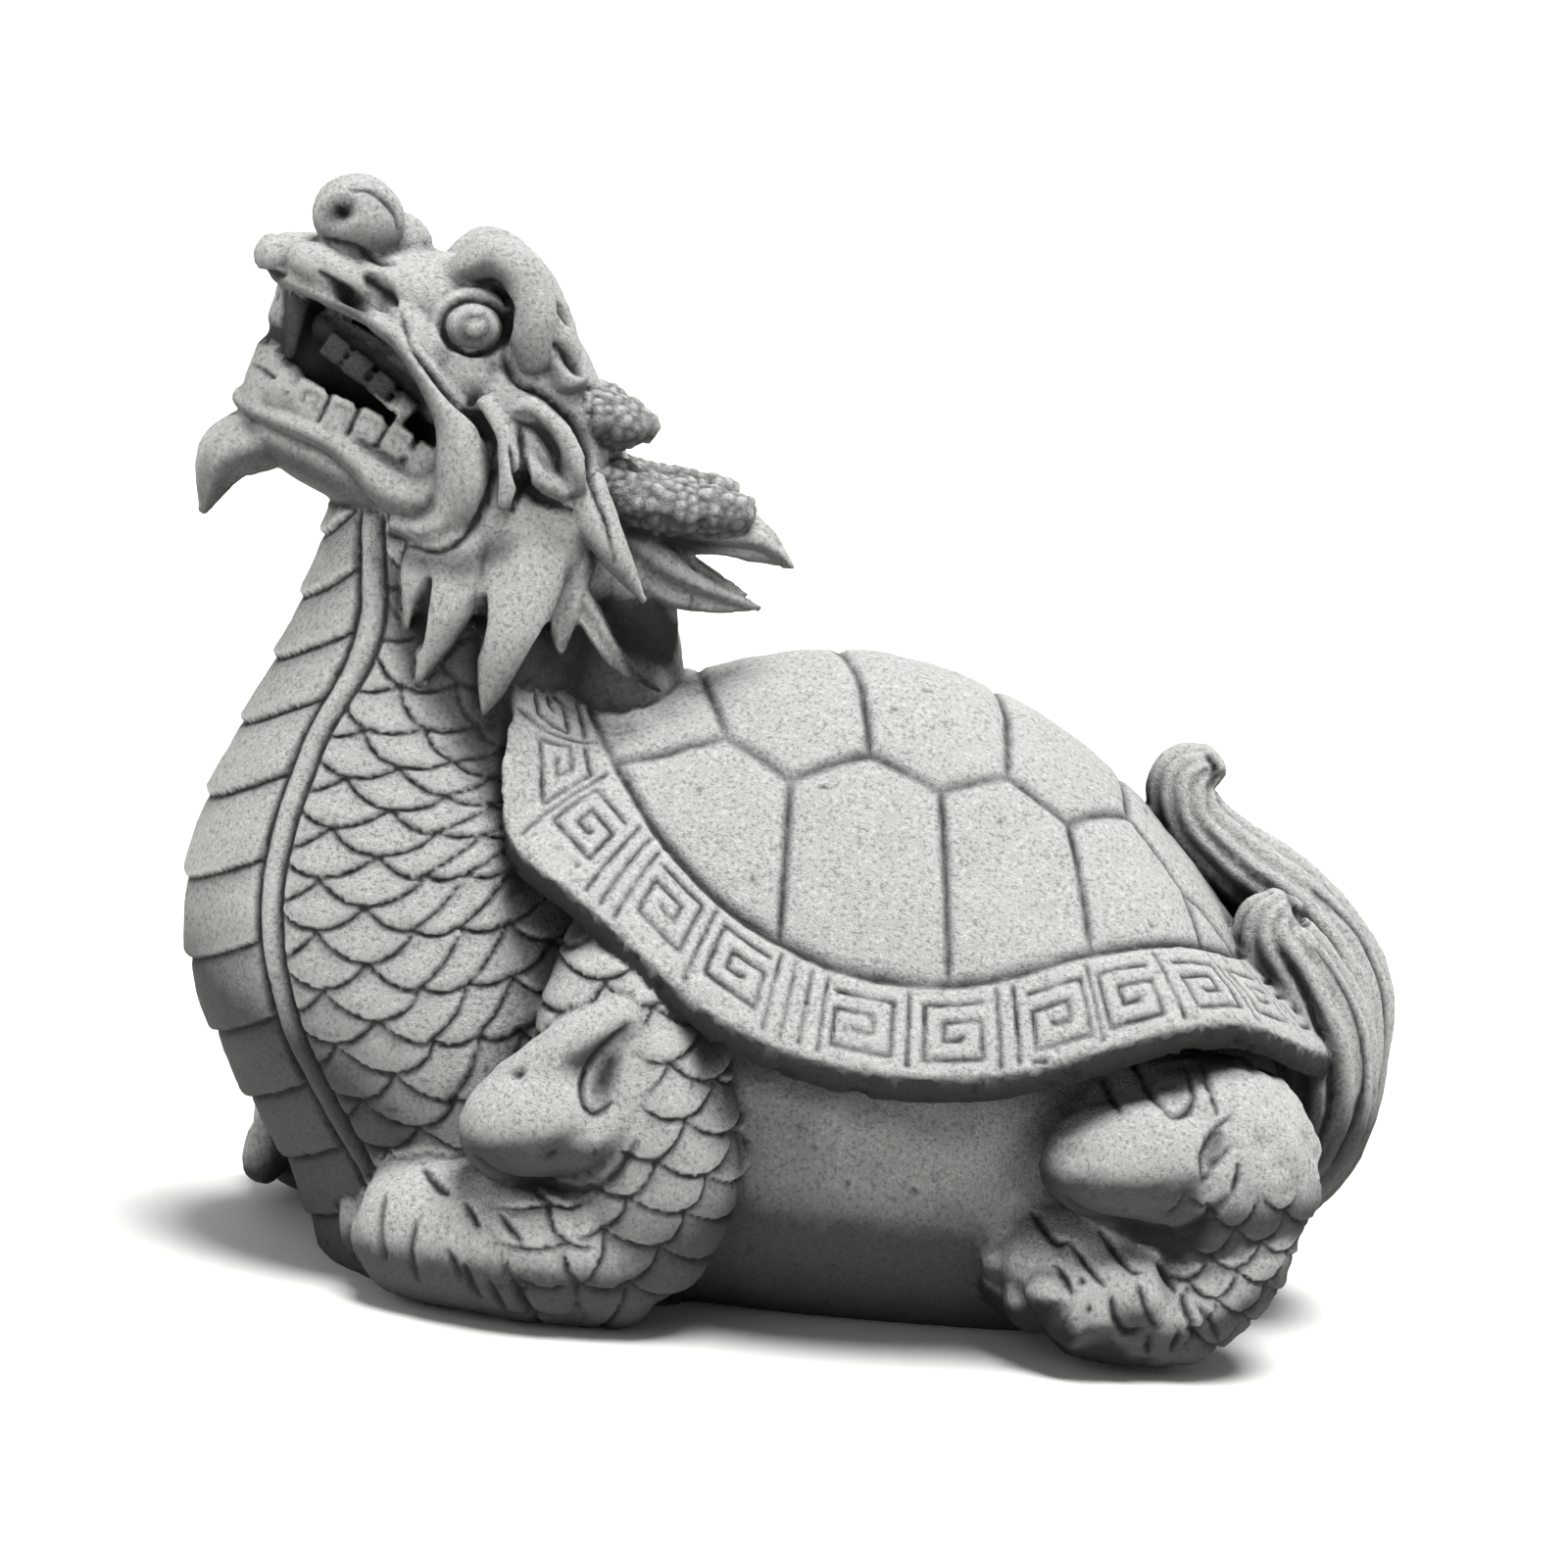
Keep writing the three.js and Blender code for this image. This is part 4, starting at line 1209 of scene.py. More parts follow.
    def carve_band(
        self, work: Carving, where: Array, plan: Array, across: Array, line: Array, wide: Array
    ) -> None:
        """Cuts the key squares and the short lines between them.

        Args:
            work: what is carved.
            where: the numbers of the band's points.
            plan: the points in plan, beside the middle plane.
            across: how far each is over the band, from 0 at the dome to 1 at the edge.
            line: the band's middle line from the head to the tail.
            wide: the band's width along that line.
        """
        _, place = near_path(plan, line[:, :2])
        flat = np.append(0, np.cumsum(np.hypot(*np.diff(line[:, :2], axis=0).T)))
        solid = np.append(0, np.cumsum(np.linalg.norm(np.diff(line, axis=0), axis=1)))
        along = np.interp(place, flat, solid)
        span = np.interp(place, flat, wide)
        cut = np.zeros(len(where))
        for i, centre in enumerate(self.squares):
            x = (along - centre) / (self.square / 2)
            seat = 0.46 + 0.1 * smooth(95, 140, along)
            y = (seat - across) * span / (self.square / 2)
            inside = np.flatnonzero((np.abs(x) < 1.3) & (np.abs(y) < 1.3))
            away = self.key(x[inside], y[inside], i % 2 == 1)
            cut[inside] = np.maximum(cut[inside], bump(away * self.square / 2, self.key_line))
        for a, b in zip(self.squares[:-1], self.squares[1:]):
            room = b - a - self.square - self.square_room
            count = max(1, int(room / self.line_pitch) + 1)
            for k in range(count):
                x = (a + b) / 2 + (k - (count - 1) / 2) * self.line_pitch
                stroke = bump(along - x, self.short_line) * smooth(0.08, 0.14, across)
                cut = np.maximum(cut, stroke * (1 - smooth(0.9, 0.96, across)))
        worn = 0.8 + 0.35 * lumps(work.points[where], 7, 32)
        work.lift[where] -= self.band_depth * cut * worn
        # Painted shade in the key squares and short lines.
        work.darken(where, 0.6 * cut * worn)

    def chip_and_shade_edge(self, work: Carving, where: Array, far: Array) -> None:
        """Chips the rim's outer edge, roughens its underside, and paints shade on the rim's side face and in
        the chips.
        """
        p = work.points[where]
        side = smooth(0.5, 0.1, work.normals[where, 2]) * (1 - smooth(8, 14, far))
        # Painted shade on the rim's side face, turned away from the light above.
        work.darken(where, 1.2 * side)
        close = 1 - smooth(0.3, 3.0, far)
        chips = lumps(p, 2.6, 33) + 0.7 * lumps(p, 6.5, 34)
        work.lift[where] += close * (0.5 * chips - 1.6 * smooth(0.4, 1.0, chips))
        # Painted shade in the chips.
        work.darken(where, 0.45 * close * smooth(0.5, 1.2, chips))

    def shade_below(self, work: Carving) -> None:
        """Paints the rim's shadow on what it hangs over, darkest just under it."""
        where = work.pick(Form.NECK, Form.SHOULDER, Form.ELBOW, Form.BELLY, Form.THIGH)
        p = work.beside(where)
        half = np.linspace(0, math.pi, 61)
        inner, outer = self.dome.at(half), self.edge_line(half)[:, :2]
        near, _ = near_path(p[:, :2], inner)
        far, _ = near_path(p[:, :2], outer)
        cover = within(p[:, :2], outer, 4.0)
        radial = self.radial(p)
        share = np.where(radial < 1, 0, near / np.maximum(near + far, 1e-6))
        high = self.height(self.seam, np.clip(p[:, 0], -52, 118))
        low = self.height(self.brim, p[:, 0])
        under = high + (low - high) * share - self.thickness - p[:, 2]
        dark = cover * smooth(-10, -4, under) * (1 - smooth(6, 24, under))
        work.darken(where, dark)


# Tail


@dataclass
class Tail(Part):
    """Fluted locks curling up against the shell: a tall middle one and a lower one on each side."""

    tall: Rows = (
        (116, 0, 30, 22, 22), (134, 0, 46, 19, 23), (140, 0, 66, 16, 24), (140, 0, 84, 14, 20),
        (127, 0, 101, 12, 16), (112, 0, 111, 10.5, 13), (100, 0, 121, 9, 11), (98, 0, 130, 9, 9),
        (104, 0, 135, 5, 7),
    )
    low: Rows = (
        (126, 10, 34, 14, 12), (136, 17, 52, 13, 15), (134, 21, 72, 13.5, 14), (125, 24, 88, 12, 11),
        (117, 25, 99, 9.5, 9.5), (120, 24, 106, 5, 7),
    )

    def details(self) -> list[Skin]:
        """The three locks."""
        low = Spine(self.low).skin(Form.TAIL, 80, flutes=Flutes(11, 1.4, 0.6))
        tall = Spine(self.tall).skin(Form.TAIL, 104, flutes=Flutes(12, 1.3))
        return [tall, low, low.mirrored()]

    def carve(self, work: Carving) -> None:
        """Cuts the eye of each curl and the long grooves of the side."""
        where = work.pick(Form.TAIL)
        Stroke([(120, 108), (122.5, 105), (125, 102)], 3.2, 1.6, 0.8, near=20).cut(work, where)
        Stroke([(101.5, 137), (103.5, 134.5), (102.5, 132)], 2.6, 1.2, 0.7, far=14).cut(work, where)
        for path in self.grooves():
            Stroke(path, 2.2, 1.2, 0.4, near=6).cut(work, where)

    def grooves(self) -> list[Rows]:
        """The long grooves' paths in the side view."""
        return [
            [(118, 96), (124, 88), (128, 81), (133, 70), (135, 56), (132, 44)],
            [(127, 97), (133, 90), (138, 83), (143, 70), (143, 58), (139, 44)],
            [(129, 108), (142, 98), (149, 86), (152, 72), (151, 60)],
        ]


# Head


@dataclass(frozen=True)
class PathTree:
    """A node tree that makes a mesh along a curve."""

    name: str
    sizes: dict[str, str]  # its own inputs' names and kinds

    def build(self) -> Tree:
        """Makes the tree with its inputs, its own nodes and its output."""
        tree = bpy.data.node_groups.new(self.name, "GeometryNodeTree")
        for name, kind in {"Geometry": "Geometry", **self.sizes, "Material": "Material"}.items():
            tree.interface.new_socket(name, in_out="INPUT", socket_type="NodeSocket" + kind)
        tree.interface.new_socket("Geometry", in_out="OUTPUT", socket_type="NodeSocketGeometry")
        given = add_node(tree, "NodeGroupInput")
        shape = self.shape(tree, given)
        whole = add_node(tree, "GeometryNodeRealizeInstances", {}, {"Geometry": shape})
        links = {"Geometry": whole.outputs[0], "Material": given.outputs["Material"]}
        painted = add_node(tree, "GeometryNodeSetMaterial", {}, links)
        add_node(tree, "NodeGroupOutput", {}, {"Geometry": painted.outputs[0]})
        return tree

    def shape(self, tree: Tree, given: Node) -> Socket:
        """Adds the tree's own nodes and gives the socket of what they make."""
        raise NotImplementedError


@dataclass(frozen=True)
class BeadTree(PathTree):
    """A round bead swept along the curve."""

    name: str = "bead_along_path"
    sizes: dict[str, str] = field(default_factory=lambda: {"Radius": "Float"})

    def shape(self, tree: Tree, given: Node) -> Socket:
        """Sweeps a circle of the given radius."""
        even = {"mode": "LENGTH", "Length": 0.8 * MM}
        line = add_node(tree, "GeometryNodeResampleCurve", even, {"Curve": given.outputs[0]})
        radius = {"Radius": given.outputs["Radius"]}
        rim = add_node(tree, "GeometryNodeCurvePrimitiveCircle", {"Resolution": 20}, radius)
        links = {"Curve": line.outputs[0], "Profile Curve": rim.outputs[0]}
        return add_node(tree, "GeometryNodeCurveToMesh", {"Fill Caps": True}, links).outputs[0]


@dataclass(frozen=True)
class ToothTree(PathTree):
    """Square teeth that stand along the curve."""

    name: str = "teeth_along_gum"
    sizes: dict[str, str] = field(default_factory=lambda: {"Count": "Int", "Size": "Vector"})

    def shape(self, tree: Tree, given: Node) -> Socket:
        """Stands the given count of blocks of the given size."""
        links = {"Curve": given.outputs[0], "Count": given.outputs["Count"]}
        line = add_node(tree, "GeometryNodeResampleCurve", {"mode": "COUNT"}, links)
        tooth = add_node(tree, "GeometryNodeMeshCube", {}, {"Size": given.outputs["Size"]})
        way = {"Vector": add_node(tree, "GeometryNodeInputTangent").outputs[0]}
        turn = add_node(tree, "FunctionNodeAlignRotationToVector", {"axis": "X"}, way)
        links = {"Points": line.outputs[0], "Instance": tooth.outputs["Mesh"], "Rotation": turn.outputs[0]}
        return add_node(tree, "GeometryNodeInstanceOnPoints", {}, links).outputs[0]


def path_object(name: str, rows: Rows) -> Thing:
    """A smooth open curve through points in millimetres."""
    fine = follow(rows, np.linspace(0, 1, 6 * len(rows))) * MM
    curve = bpy.data.curves.new(name, "CURVE")
    curve.dimensions = "3D"
    spline = curve.splines.new("POLY")
    spline.points.add(len(fine) - 1)
    spline.points.foreach_set("co", np.column_stack([fine, np.ones(len(fine))]).ravel())
    return new_object(name, curve)


def grown(path: Thing, tree: Tree, values: dict[str, object], form: Form) -> Skin:
    """Runs a node tree on a curve and takes its mesh.

    Args:
        path: the curve object, which is removed.
        tree: the node tree.
        values: the tree's inputs by name.
        form: what the mesh belongs to.

    Returns:
        The closed surfaces.
    """
    modifier = path.modifiers.new(tree.name, "NODES")
    modifier.node_group = tree
    sockets = {s.name: s.identifier for s in tree.interface.items_tree if s.in_out == "INPUT"}
    for name, value in values.items():
        modifier[sockets[name]] = value
    graph = bpy.context.evaluated_depsgraph_get()
    mesh = bpy.data.meshes.new_from_object(path.evaluated_get(graph))
    path.modifiers.clear()
    bpy.data.objects.remove(path)
    return skin_of(new_object(tree.name, mesh), form)


@dataclass
class Head(Part):
    """The raised head with its open mouth, brows, nose scrolls, ears and whiskers."""

    skull: Rows = (
        (-60, 0, 166, 25, 23), (-69, 0, 188, 25, 25), (-76, 0, 211, 21, 24), (-83, 0, 228, 14, 19),
    )
    snout: Rows = (
        (-84, 0, 222, 18, 23), (-98, 0, 229, 12, 20), (-111, 0, 231, 9.5, 17), (-123, 0, 234, 8, 13),
        (-132, 0, 236.5, 5, 9),
    )
    jaw: Rows = (
        (-76, 0, 178, 13, 25), (-92, 0, 181, 10, 22), (-107, 0, 186.5, 9, 18.5), (-121, 0, 192, 8.5, 15),
        (-132, 0, 196, 6, 10),
    )
    beard: Rows = ((-128, 0, 194, 8, 9), (-139.5, 0, 188, 7.5, 8), (-144, 0, 174, 1.4, 1.4))
    brow: Rows = (
        (-91, 11, 234, 3, 4.5), (-88, 14, 238, 4, 5.5), (-82, 17, 241, 5, 6), (-76, 20, 238, 5.5, 6.5),
        (-73, 21.5, 231, 5.6, 6.5), (-72.5, 22, 224, 5, 6), (-72, 22, 217, 3.4, 4.5),
    )
    crown: Rows = (
        (-85, 9, 239, 5, 6), (-76, 12, 237, 6.5, 7), (-69, 15, 226, 6.5, 7), (-63, 16, 213, 5.5, 7),
    )
    # The canine, which hangs in front.
    fang: Rows = ((-126.3, 9, 230, 3.4, 2.8), (-126.8, 10.5, 222, 2.3, 2.4), (-127.2, 11, 213, 1.1, 1.4))
    # The wall of teeth and gum that closes the mouth in front.
    front: Rows = (
        (-126.5, 0, 231, 4.5, 8.5), (-128, 0, 222, 4.5, 9), (-129.5, 0, 214, 5, 9.5),
        (-131.5, 0, 205.5, 5.5, 10), (-132, 0, 199, 5.5, 10),
    )
    # The gums that the teeth stand on, below and above.
    gums: tuple[Rows, ...] = (
        (
            (-125, 11.5, 198.5, 2.6, 3), (-115, 14.5, 196.5, 2.6, 3), (-107.5, 16.5, 194, 2.6, 3),
            (-100.5, 18, 191, 2.6, 3), (-94, 19, 188, 2.6, 3),
        ),
        (
            (-121, 9, 221, 3.2, 3.2), (-112, 11.5, 218, 3.2, 3.2), (-104, 13.5, 214, 3.2, 3.2),
            (-97, 15, 209, 3.2, 3.2), (-92, 16, 203, 3.2, 3.2),
        ),
    )
    # The fat fold that runs from the upper lip round the corner of the mouth and in under the jaw.
    cheek: Rows = (
        (-108, 18, 223.5, 2.6, 3.5), (-103, 20.5, 220.5, 2.8, 4), (-97, 22.5, 214, 3.1, 4.5),
        (-93, 23.5, 209, 3.8, 5), (-88, 25, 202, 5.3, 6), (-86, 25.5, 194, 6.4, 6.5),
        (-85.5, 25.5, 187, 6.2, 6.5), (-87, 24.5, 181, 5.6, 6), (-93, 22.5, 177, 3.4, 5),
        (-100, 20, 177.5, 2.5, 3.5),
    )
    upper_lip: Rows = (
        (-133, 5, 232), (-124, 13, 229.5), (-117, 16, 227), (-110, 18, 224.5), (-103, 20, 219.5),
    )
    lower_lip: Rows = (
        (-137, 0, 201.5, 2.8, 3), (-134, 6, 200, 2.7, 3), (-126, 13, 197.8, 2.7, 3),
        (-116, 16.5, 194.8, 2.9, 3.2), (-109, 19, 190.5, 3.4, 3.8), (-103, 21, 186, 4.6, 4.4),
        (-97, 22, 184, 5, 4.6), (-92.5, 22, 187, 3.4, 3.8), (-91.5, 21.5, 191, 1.8, 2.4),
    )
    whisker: Rows = (
        (-83, 26, 208.5), (-79, 29, 203.5), (-76.5, 31, 197), (-75.5, 32, 191), (-75.5, 31.5, 184.5),
    )
    # The ear's raised edges, above and below the slot: x, y, z, half depth, half width.
    ear_edges: tuple[Rows, ...] = (
        (
            (-76.5, 26, 206, 1.8, 2.2), (-71.5, 28, 208, 2.4, 2.6), (-65.5, 29.5, 204, 2.6, 2.8),
            (-60.5, 30, 196, 2.8, 3), (-59.5, 29, 190, 2.4, 2.6),
        ),
        (
            (-75.5, 27, 203, 1.8, 2.2), (-73.5, 28.5, 197, 2.6, 2.8), (-68.5, 29.5, 192, 3.2, 3.2),
            (-62, 29.5, 189, 2.8, 2.8),
        ),
    )
    upper_gum: Rows = ((-117, 14, 216), (-111.5, 15.5, 212.5), (-105.5, 17, 208.5), (-100.5, 18, 204.5))
    lower_gum: Rows = (
        (-122, 13, 204), (-115, 16, 201.5), (-107.5, 18, 199), (-100.5, 19.5, 196), (-95, 20.5, 193),
    )
    mouth: Rows = (
        (-131, 229), (-119, 224), (-106, 218), (-96, 210), (-92, 198), (-94, 190), (-101, 194), (-110, 198),
        (-120, 203), (-130, 212),
    )
    # The jaw's underside and the cheek's lower edge, painted with shade.
    jaw_shade: Rows = (
        (-133, 193), (-124, 192), (-114, 187), (-104, 179.5), (-95, 175.5), (-83, 176), (-75, 181),
        (-68, 180), (-72, 171), (-83, 165), (-95, 165), (-105, 168), (-113, 180), (-124, 184), (-133, 187),
    )
    upper_teeth: int = 4
    lower_teeth: int = 5
    upper_tooth: Row = (5.4, 4.4, 6.0)
    lower_tooth: Row = (6.8, 4.6, 7.2)
    lip_radius: float = 2.3
    whisker_radius: float = 2.4
    eye: Row = (-86, 20.2, 225)
    lids: Row = (7.6, 6.3)  # half length and half height of the eye's opening

    def masses(self) -> list[Skin]:
        """Skull, snout and jaw, which run into one another."""
        return [Spine(rows).skin(Form.HEAD, 48) for rows in (self.skull, self.snout, self.jaw)]

    def details(self) -> list[Skin]:
        """The features that stand on the masses."""
        made = [
            egg(Form.MOUTH, (-107, 0, 210), (25, 8, 12), 33),
            egg(Form.MOUTH, (-121, 0, 212), (9, 8, 14), 10),
            egg(Form.NOSE, (-107, 0, 241), (11, 8, 8)),
            Spine(self.front).skin(Form.TOOTH, 40),
            Spine(self.beard).skin(Form.BEARD, 48, flutes=Flutes(6, 0.8)),
        ]
        beads, teeth = BeadTree().build(), ToothTree().build()
        half: list[Skin] = [
            egg(Form.NOSE, (-114, 8, 246), (10.5, 7, 10)),
            egg(Form.NOSE, (-133, 6, 235), (4.2, 4.4, 5)),
            egg(Form.NOSE, (-117, 9, 231.5), (14, 9, 7), 24),
            egg(Form.HEAD, (-77, 22, 201), (8, 6.5, 15)),
            egg(Form.TOOTH, (-127.5, 8, 204.5), (5, 5.5, 7)),
            egg(Form.HEAD, (-87, 17.5, 213), (9, 8, 8), 30),
            egg(Form.HEAD, (-97, 16, 219.5), (12, 8, 5.5), 50),
            egg(Form.HEAD, (-86.5, 18, 224.5), (10.5, 5.4, 9), 10),
            egg(Form.EYE, self.eye, (7.2, 5.6, 5.9)),
            *(Spine(rows).skin(form, 28) for rows, form in zip(self.gums, (Form.FOLD, Form.MOUTH))),
            egg(Form.EAR, (-67, 26.5, 198), (12.5, 3.6, 7.5), 46),
            Spine(self.brow).skin(Form.BROW, 36),
            Spine(self.crown).skin(Form.HEAD, 36),
            Spine(self.cheek).skin(Form.FOLD, 36),
            Spine(self.lower_lip).skin(Form.FOLD, 28),
            Spine(self.fang).skin(Form.TOOTH, 20),
            *(Spine(rows).skin(Form.EAR, 24) for rows in self.ear_edges),
            self.bead("upper_lip", self.upper_lip, beads, self.lip_radius),
            self.bead("whisker", self.whisker, beads, self.whisker_radius),
            self.teeth(self.upper_gum, teeth, self.upper_teeth, self.upper_tooth),
            self.teeth(self.lower_gum, teeth, self.lower_teeth, self.lower_tooth),
        ]
        return made + half + [s.mirrored() for s in half]

    def bead(self, name: str, rows: Rows, tree: Tree, radius: float) -> Skin:
        """A lip or whisker, round all along."""
        return grown(path_object(name, rows), tree, {"Radius": radius * MM}, Form.FOLD)

    def teeth(self, gum: Rows, tree: Tree, count: int, size: Row) -> Skin:
        """A row of teeth along a gum."""
        values = {"Count": count, "Size": tuple(v * MM for v in size)}
        return grown(path_object("gum", gum), tree, values, Form.TOOTH)

    def carve(self, work: Carving) -> None:
        """Cuts the nostrils, slots, creases, eyelids, teeth and the hollow of the mouth, and paints shade in
        them and under the jaw.
        """
        forms = (Form.HEAD, Form.NOSE, Form.FOLD, Form.BROW, Form.EAR, Form.EYE, Form.MANE, Form.CHEEK)
        face = work.pick(*forms)
        for stroke in self.strokes():
            stroke.cut(work, face)
        # Painted shadow under the jaw and along the cheek's lower edge.
        below = work.pick(Form.HEAD, Form.FOLD, Form.CHEEK, Form.BEARD)
        ShadowPatch(self.jaw_shade, 0.75, 5).paint_shadow(work, below)
        self.carve_eye(work)
        self.carve_mouth(work)
        self.carve_teeth(work)

    def carve_eye(self, work: Carving) -> None:
        """Cuts the lid, the ring and the pupil of each eye, with painted shade in the lid's and the ring's
        grooves.
        """
        eye = work.pick(Form.EYE, Form.HEAD, Form.BROW)
        p = work.beside(eye)
        long, high = self.lids
        away = np.hypot((p[:, 0] - self.eye[0]) / long, (p[:, 2] - self.eye[2] + 0.3) / high)
        away = np.where(p[:, 1] > 16, away, 99)
        ball, iris, rim = bump(away, 0.36), bump(away - 0.64, 0.17), bump(away - 1.22, 0.2)
        work.lift[eye] += ball + 0.55 * iris + 0.8 * rim
        lid, ring = bump(away - 1.0, 0.15), bump(away - 0.43, 0.14)
        work.lift[eye] -= 1.1 * lid + 0.4 * ring
        work.darken(eye, np.maximum(0.8 * lid, 0.4 * ring))

    def carve_mouth(self, work: Carving) -> None:
        """Paints shade in the hollow of the mouth and on the upper teeth, and cuts the wall of teeth in front
        with a painted dark window.
        """
        inside = work.pick(Form.MOUTH, Form.HEAD, Form.TOOTH, Form.FOLD)
        p = work.beside(inside)
        # Painted shade: the mouth's hollow near black, and the upper teeth dark above their line, in the
        # mouth's shadow.
        deep = np.maximum(smooth(19, 14, p[:, 1]), work.forms[inside] == Form.MOUTH)
        hollow = 1.3 * within(p[:, [0, 2]], self.mouth, 1.5) * deep
        upper = p[:, 2] > 207 - 0.3 * (p[:, 0] + 110)
        tooth = (work.forms[inside] == Form.TOOTH) * (p[:, 1] > 9)
        hollow = np.where(tooth, upper, hollow)
        work.darken(inside, hollow)
        wall = work.pick(Form.TOOTH, Form.MOUTH)
        Stroke([(-141, 218.5), (-135, 218), (-129, 217.5)], 6.0, 1.3, 1.0, far=10).cut(work, wall)
        # A painted dark window in the front wall, where the mouth is in shade.
        ShadowPatch([(-139, 221.5), (-128, 221.3), (-127.8, 214.5), (-139, 214.5)], 1.3, 0.8).paint_shadow(work, wall)
        for path in ([(-135, 210), (-131, 208), (-126, 206)], [(-129, 208), (-129, 204), (-129, 200)]):
            Stroke(path, 1.8, 0.9, 0.6, far=12).cut(work, wall)

    def carve_teeth(self, work: Carving) -> None:
        """Parts the lower teeth and sinks a square in each one's face, with painted shade in the gaps and
        squares.
        """
        where = work.pick(Form.TOOTH)
        p = work.beside(where)
        line = follow(np.array(self.lower_gum, float)[:, [0, 2]], np.linspace(0, 1, 60))
        total = np.hypot(*np.diff(line, axis=0).T).sum()
        away, along = near_path(p[:, [0, 2]], line)
        gaps = self.lower_teeth - 1
        slot = along / total * gaps
        beside = np.abs(slot - np.round(slot)) * total / gaps
        outer = (p[:, 1] > 12) * smooth(6, 4.5, away)
        gap = bump(total / (2 * gaps) - beside, 1.0) * outer
        square = bump(np.maximum(beside, away) - 1.7, 0.8) * outer
        work.lift[where] -= 1.5 * gap + 0.5 * square
        work.darken(where, np.maximum(0.9 * gap, 0.35 * square))

    def strokes(self) -> list[Stroke]:
        """The face's carved lines, from the nose back."""
        crease = [
            (-103, 227), (-102, 223), (-99, 217), (-95, 213), (-90, 209), (-84, 205), (-80, 200), (-79, 194),
        ]
        lip_fold = [(-99.5, 218), (-94, 212.5), (-89, 208), (-84, 204.5), (-80.5, 199)]
        cheek_fold = [(-75, 213), (-70, 211), (-66, 209), (-61, 205), (-57, 198), (-56, 192)]
        return [
            Stroke([(-120.5, 247), (-119, 248), (-117.5, 248.5)], 6.4, 4.2, 1.0, near=4),
            Stroke([(-121, 242), (-117, 244), (-115, 247), (-116, 250)], 2.4, 0.8, near=6, raised=True),
            Stroke([(-117, 253), (-113, 253), (-109, 251), (-106, 248), (-105, 244)], 1.8, 0.9, near=4),
            Stroke([(-122, 241), (-115, 240), (-109, 237), (-105, 237)], 2.0, 0.9, near=3),
            Stroke([(-137, 231), (-133, 231), (-130, 232)], 3.0, 1.6, near=3),
            Stroke([(-123, 234), (-119, 232), (-115, 229.5), (-112, 227)], 3.0, 2.0, 0.2, near=6),
            Stroke([(-118, 230.5), (-115, 228.5), (-111.5, 226.5)], 7.0, 3.2, 0.7, near=6),
            Stroke([(-111.5, 234), (-108, 231), (-104.5, 228)], 5.6, 3.2, 0.25, near=6),
            Stroke(crease, 1.8, 0.9, 0.3, near=12),
            Stroke(lip_fold, 3.0, 2.2, 0.4, near=12),
            Stroke([(-74, 203), (-72.5, 197), (-72, 190), (-74, 184)], 2.4, 1.8, 0.5, near=22),
            Stroke([(-79, 192), (-80, 185), (-84, 177), (-90, 173), (-96, 173)], 2.4, 1.2, 0.6, near=12),
            Stroke([(-82, 234), (-79, 231), (-78, 225), (-79, 219)], 2.4, 1.4, 0.3, near=12),
            Stroke([(-67, 232), (-65, 229), (-64, 227)], 2.4, 2.0, near=6),
            Stroke([(-67, 223), (-64, 220), (-60, 216)], 4.6, 3.0, 0.3, near=8),
            Stroke([(-79, 219), (-77, 215), (-73, 212)], 3.4, 1.4, 0.5, near=12),
            Stroke(cheek_fold, 2.6, 2.6, 0.3, near=12),
            Stroke([(-74.5, 204.5), (-70, 203), (-66, 198.5), (-64, 194)], 3.0, 1.5, 0.3, near=18),
            Stroke([(-76, 199), (-73.5, 192), (-68, 187), (-60, 185)], 2.4, 2.0, 0.4, near=18),
            Stroke([(-58, 197), (-55, 189), (-52, 183), (-49, 174)], 1.8, 1.4, 0.3, near=14),
            Stroke([(-92, 167), (-93, 160), (-93, 150)], 3.2, 3.0, 0.5, near=14),
            Stroke([(-79, 164), (-80, 153), (-84, 140)], 3.4, 3.0, 0.4, near=14),
            Stroke([(-63, 158), (-67, 148), (-72, 138)], 3.4, 3.0, 0.4, near=14),
        ]


